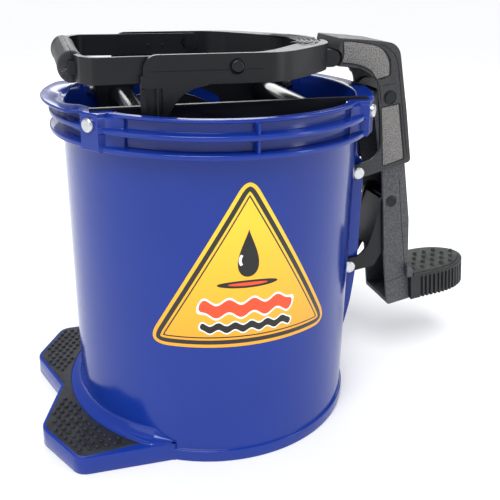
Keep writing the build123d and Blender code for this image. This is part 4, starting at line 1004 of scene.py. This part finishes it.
def grip_shell(side):
    """One half shell and its UV: turn runs over half an oval, y along the bar."""
    turn = np.linspace(-np.pi / 2, np.pi / 2, 41)
    end = GRIP_HALF - np.append(np.linspace(2, 0.1, 6), [0, 0])
    y = np.concatenate([-end[::-1], np.linspace(3 - GRIP_HALF, GRIP_HALF - 3, 81), end])
    into_end = np.clip(np.abs(y) - GRIP_HALF + GRIP_ROUND, 0, GRIP_ROUND) / GRIP_ROUND
    close = np.sqrt(1 - into_end ** 2 * 0.19)[:, None]
    close[[0, -1]] = 0.0
    within = (step_between(PANEL_HALF - np.abs(y), 0, 1.2)[:, None]
              * step_between(PANEL_TURN - np.abs(turn), 0, 0.09))
    oval_x = side * np.cos(turn) * (GRIP_ACROSS - PANEL_DEEP * within) * close
    oval_z = np.sin(turn) * (GRIP_UP - PANEL_DEEP * within) * close
    along = y[:, None] + 0 * within
    points = np.stack([GRIP_X + side * GRIP_GAP + oval_x, along, GRIP_Z + oval_z], axis=-1)
    uv = np.stack([np.broadcast_to(turn * 12, within.shape), along], axis=-1) / 100
    return points.reshape(-1, 3), grid_faces(len(y), len(turn), wrap=True), uv.reshape(-1, 2)


for name, side, node in (("grip_shell_outer", -1, "bail_grip_outer"),
                         ("grip_shell_inner", 1, "bail_grip_inner")):
    points, faces, uv = grip_shell(side)
    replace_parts(make_piece(name, "bail", "crosshatched_plastic", points, faces, uv=uv), node)

grip_end = np.array([GRIP_X, -GRIP_HALF, GRIP_Z])
end_lines = [bead([grip_end - reach, grip_end - (0, 0.1, 0), grip_end + reach], (0, -1, 0), 0.35)
             for reach in ((9, 0, 0), (0, 0, 11))]
make_piece("grip_end_lines", "bail", "satin_charcoal_plastic", *both_sides(joined(end_lines)))

# %% [markdown]
# ## The lever's panels
# Both cheeks of the lever have two sunk panels with the coarse pebble, inside a smoother border.
# The panel's skin is a thin slab that fills the CAD's recess and stands 0.2 mm proud, and a dark
# bead round its edge is painted shade: it stands for the shadow in the groove between panel and border.

# %% Lever panels
CHEEK_Y, RECESS, HINGE = 28.5, 0.8, (172.0, 299.0)
upper_panel = rounded_outline(
    [(119.5, 353.6), (127, 353.2), (152.5, 349.8), (161.2, 344.9), (166.6, 336.8), (168.8, 330.8),
     (169.2, 320.6), (155.6, 317.3), (150.6, 326.1), (141.8, 330.2), (132.4, 333.0), (119.2, 334.4),
     (121.2, 342)], [1, 8, 30, 16, 10, 6, 1, 1, 10, 10, 10, 1, 20])
lower_panel = rounded_outline(
    [(163.6, 288.9), (181.6, 291.8), (191.6, 236.4), (169.8, 230.0), (166.6, 262.2)], [1, 1, 1, 1, 40])
skins, groove_shade_beads = [], []
for outline in (upper_panel, lower_panel):
    skins.append(on_side(slab(outline, [(0, CHEEK_Y - RECESS - 0.3), (0, CHEEK_Y + 0.05),
                                        (0.3, CHEEK_Y + 0.2)])))
    # Painted shade: a dark bead along the panel's edge stands for the shadow in its groove.
    edge = smooth_line(inset(outline, -0.55), 0.0, closed=True)
    groove_shade_beads.append(bead(on_side_face(edge, CHEEK_Y - 0.1), (0, 1, 0), 0.55, closed=True))
make_piece("lever_panel_skins", "lever", "coarse_pebbled_plastic", *both_sides(joined(skins)))

# %% [markdown]
# Between the panels the moulding is stepped: two fine lines cross the cheek and one ring surrounds
# the pin. Two edge lines follow the lever's back and its hollow front. The lines take the darker
# charcoal finish, as painted shade along each step.

# %% Lever lines
cross_lines = [[(158.2, 309.8), (169, 311.5), (180.6, 313.3)], [(160.0, 300.8), (166.0, 300.9)],
               [(178.2, 303.6), (182.6, 306.0)]]
back_line = smooth_line([(156, 351.2), (165.7, 347.6), (174.2, 340.2), (177.6, 333), (181.6, 314),
                         (185.6, 292), (196.3, 237.0)], [0, 12, 12, 16, 30, 60, 0])
front_line = smooth_line([(134, 330.6), (142, 328.8), (152, 323.4), (159.6, 312), (161.6, 300.5),
                          (163.2, 292)], [0, 12, 12, 16, 10, 0])
lever_shade_lines = [bead(on_side_face(line, CHEEK_Y), (0, 1, 0), 0.4)
               for line in cross_lines + [back_line, front_line]]
lever_shade_lines.append(ring_bead(HINGE, CHEEK_Y, 6.6, 0.5))
# Painted shade: the step lines and the groove beads take the darker charcoal finish.
make_piece("lever_shade_lines", "lever", "satin_charcoal_plastic",
           *both_sides(joined(lever_shade_lines + groove_shade_beads)))

# %% [markdown]
# The leg has one long line near its outer edge, a ring round the linkage pin and a step where its
# closed foot begins.

# %% Leg lines
LEG_Y, LEG_PIN = 25.0, (184.0, 190.0)
leg_paths = [smooth_line([(191.6, 214.0), (195.9, 178.3), (205.0, 124.0), (207.0, 104.5)], [0, 40, 30, 0]),
             smooth_line([(183.6, 98.2), (196, 101.0), (207.0, 104.0)], [0, 4, 0])]
leg_lines = [bead(on_side_face(line, LEG_Y), (0, 1, 0), 0.3) for line in leg_paths]
leg_lines.append(ring_bead(LEG_PIN, LEG_Y, 5.6, 0.5))
make_piece("leg_lines", "pedal_arm", "satin_charcoal_plastic", *both_sides(joined(leg_lines)))

# %% [markdown]
# ## The pedal
# The pedal is a moulded block with a rubber tread. Its plan has straight sides and an elliptical
# end, and upright ribs round the rim: the outline is moved in by a pulse of the length along it, to
# full depth between ribs and to nothing in the band under the top edge. It is worked out level and
# then tilted, by the pedal's slope, about the place where it meets the leg.

# %% Pedal outline
PEDAL_AT, PEDAL_SLOPE = (213.0, 105.0), np.radians(5.5)
PEDAL_LONG, PEDAL_HALF, PEDAL_THICK, PEDAL_START = 76.0, 31.0, 28.0, -1.5
RIB_PITCH, RIB_DEEP, PLAIN_END = 5.0, 2.2, 11.0


def tilted(points):
    """From the pedal's own level frame to its place: turned about Y, then moved."""
    x, y, z = points.T
    c, s = np.cos(PEDAL_SLOPE), np.sin(PEDAL_SLOPE)
    return np.column_stack([PEDAL_AT[0] + x * c - z * s, y, PEDAL_AT[1] + x * s + z * c])


straight = PEDAL_LONG * 0.42
end_turn = np.linspace(-np.pi / 2, np.pi / 2, 300)
rim_path = np.vstack([
    np.column_stack([np.linspace(PEDAL_START, straight, 160), np.full(160, -PEDAL_HALF)]),
    np.column_stack([straight + (PEDAL_LONG - straight) * np.cos(end_turn),
                     PEDAL_HALF * np.sin(end_turn)])[1:],
    np.column_stack([np.linspace(straight, PEDAL_START, 160), np.full(160, PEDAL_HALF)])[1:],
    np.column_stack([np.full(60, PEDAL_START), np.linspace(PEDAL_HALF, -PEDAL_HALF, 62)[1:-1]])])
rim_length = np.concatenate([[0], np.cumsum(np.linalg.norm(np.diff(rim_path, axis=0), axis=1))])
half_way = rim_length[len(rim_path) - 61] / 2
from_nose = np.abs(rim_length - half_way)
ribbed = (from_nose < half_way - PLAIN_END) & (rim_path[:, 0] > PEDAL_START + 0.1)
groove = np.where(ribbed, step_between(np.cos(2 * np.pi * from_nose / RIB_PITCH), -0.15, 0.35), 0)

# %% Pedal block
pedal_levels = [(4.0, -5.0, 0), (4.0, -PEDAL_THICK, 0), (0.7, -PEDAL_THICK, 1), (0.0, -PEDAL_THICK + 0.8, 1),
                (0.0, -4.2, 1), (0.0, -3.0, 0), (0.0, -1.3, 0), (0.35, -0.4, 0), (1.2, 0.0, 0),
                (3.6, 0.0, 0), (4.0, -0.4, 0), (4.0, -1.0, 0)]
block, block_faces = stacked(
    [inset(rim_path, d + RIB_DEEP * cut * groove[:, None]) for d, _, cut in pedal_levels],
    [height for _, height, _ in pedal_levels])
pedal = make_piece("pedal_moulding", "pedal_arm", "pedal_moulding", tilted(block), block_faces)
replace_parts(pedal, "pedal_block")

# %% [markdown]
# The tread is a rubber inlay. Its studs stand in rows that run slantwise across the pedal, 11.6 mm
# apart, and are the same eight-sided domes as the foot pad's, only taller.

# %% Pedal tread
TREAD_PITCH, ROW_PITCH, ROW_SLANT = 11.6, 10.6, 0.64
tread_edge = inset(rim_path, 4.1)[::3]
tread = slab(tread_edge, [(0, -1.1), (0, 0.5), (0.25, 0.85), (0.7, 1.0)])
row, column = np.mgrid[-4:5, 0:8]
stud_y = row * ROW_PITCH + 3.5
tread_places = np.stack([column * TREAD_PITCH + ROW_SLANT * stud_y - 3.6, stud_y], axis=-1).reshape(-1, 2)
tread_places = tread_places[inside(tread_edge, tread_places, 3.2)]
tread_studs = studs(tread_places, [(2.3, 0.9), (2.0, 2.9), (1.3, 3.6), (0.0, 3.8)])
tread_points, tread_faces = joined([tread, tread_studs])
pedal_tread = make_piece("pedal_tread_rubber", "pedal_arm", "tread_rubber", tilted(tread_points),
                         tread_faces)
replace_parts(pedal_tread, "pedal_tread")

# %% Pedal tab
tab_outline = rounded_outline(
    [(205.3, 118.2), (207.6, 118.4), (213.6, 112.5), (213.2, 103.8), (206.4, 104.1)],
    [0.8, 1.5, 1.5, 0.8, 0.8])
tab = on_side(slab(tab_outline, [(0.5, 25), (0, 25.4), (0, 31.1), (0.5, 31.6)]))
make_piece("pedal_tabs", "pedal_arm", "fine_pebbled_plastic", *both_sides(tab))

# %% [markdown]
# ## The rollers
# Each roller is a tube turned on its axis: a profile of (radius, place along Y) carried once
# round. Its ends have a small chamfer and a step where the bearing plug sits.

# %% Rollers
def turned_on_y(profile, centre_x, centre_z, sides=72):
    """A profile of (radius, y) carried round an axis that lies along Y."""
    profile = np.array(profile, dtype=float)
    turn = np.arange(sides) * 2 * np.pi / sides
    radius, y = profile[:, :1], profile[:, 1:]
    points = np.stack([centre_x + radius * np.cos(turn), y + 0 * turn, centre_z + radius * np.sin(turn)],
                      axis=-1)
    return points.reshape(-1, 3), grid_faces(len(profile), sides, wrap=True).tolist()


ROLLER_Z = 292.0
roller_half = [(10.05, 0.0), (10.05, 78.3), (10.6, 79.0), (11.7, 79.0), (12.3, 78.6), (12.5, 77.9),
               (12.5, 40.0), (12.5, 0.0)]
roller_profile = roller_half + [(r, -y) for r, y in roller_half[::-1]][1:]
for name, body, node, centre_x in (("fixed_roller", "fixed_roller", "fixed_roller_tube", 77.0),
                                   ("moving_roller", "moving_roller", "moving_roller_tube", -75.0)):
    roller = make_piece(name, body, "polished_roller_plastic",
                        *turned_on_y(roller_profile, centre_x, ROLLER_Z))
    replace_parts(roller, node)

# %% [markdown]
# ## The parts that stay as the CAD made them
# Bolts, nuts, pins, bushes and the spring already have their true shape, so only their finish
# changes. Each takes the finish of its slot, unless it is named here: the pins that show on the
# yoke and the linkage are blackened, and the spring keeps its bare wire.

# %% Finish the remaining CAD nodes
slot_finish = {"blue_polypropylene": "blue_polypropylene", "black_plastic": "satin_charcoal_plastic",
               "textured_plastic": "fine_pebbled_plastic", "roller_plastic": "polished_roller_plastic",
               "black_rubber": "pad_rubber", "zinc_steel": "zinc_plated_steel",
               "spring_steel": "spring_steel", "black_fastener": "blackened_steel",
               "white_nylon": "natural_nylon", "label_vinyl": "printed_vinyl"}
node_finish = {"yoke_hinge_pin": "blackened_steel", "bail_pivot_bolts": "satin_charcoal_plastic",
               "bail_pivot_nuts": "blackened_steel", "leg_pivot_pin": "blackened_steel"}
for part in frame["record"]["subparts"]:
    node = cad_nodes[part["node"]]
    finish = node_finish.get(part["node"], slot_finish[part["material_slot"]])
    node.data.materials.clear()
    node.data.materials.append(finishes[finish][0])
print("CAD nodes shown:", sum(not node.hide_render for node in cad_nodes.values()))

# %% [markdown]
# The visual model must stay the size that the CAD gave it, so the difference between the two boxes is
# printed.

# %% Sizes and finish
visual_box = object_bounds()
growth = [round(1000 * (new - old), 2) for old, new in zip((*cad_box[0], *cad_box[1]),
                                                           (*visual_box[0], *visual_box[1]))]
print("visual box less CAD box, mm:", growth)
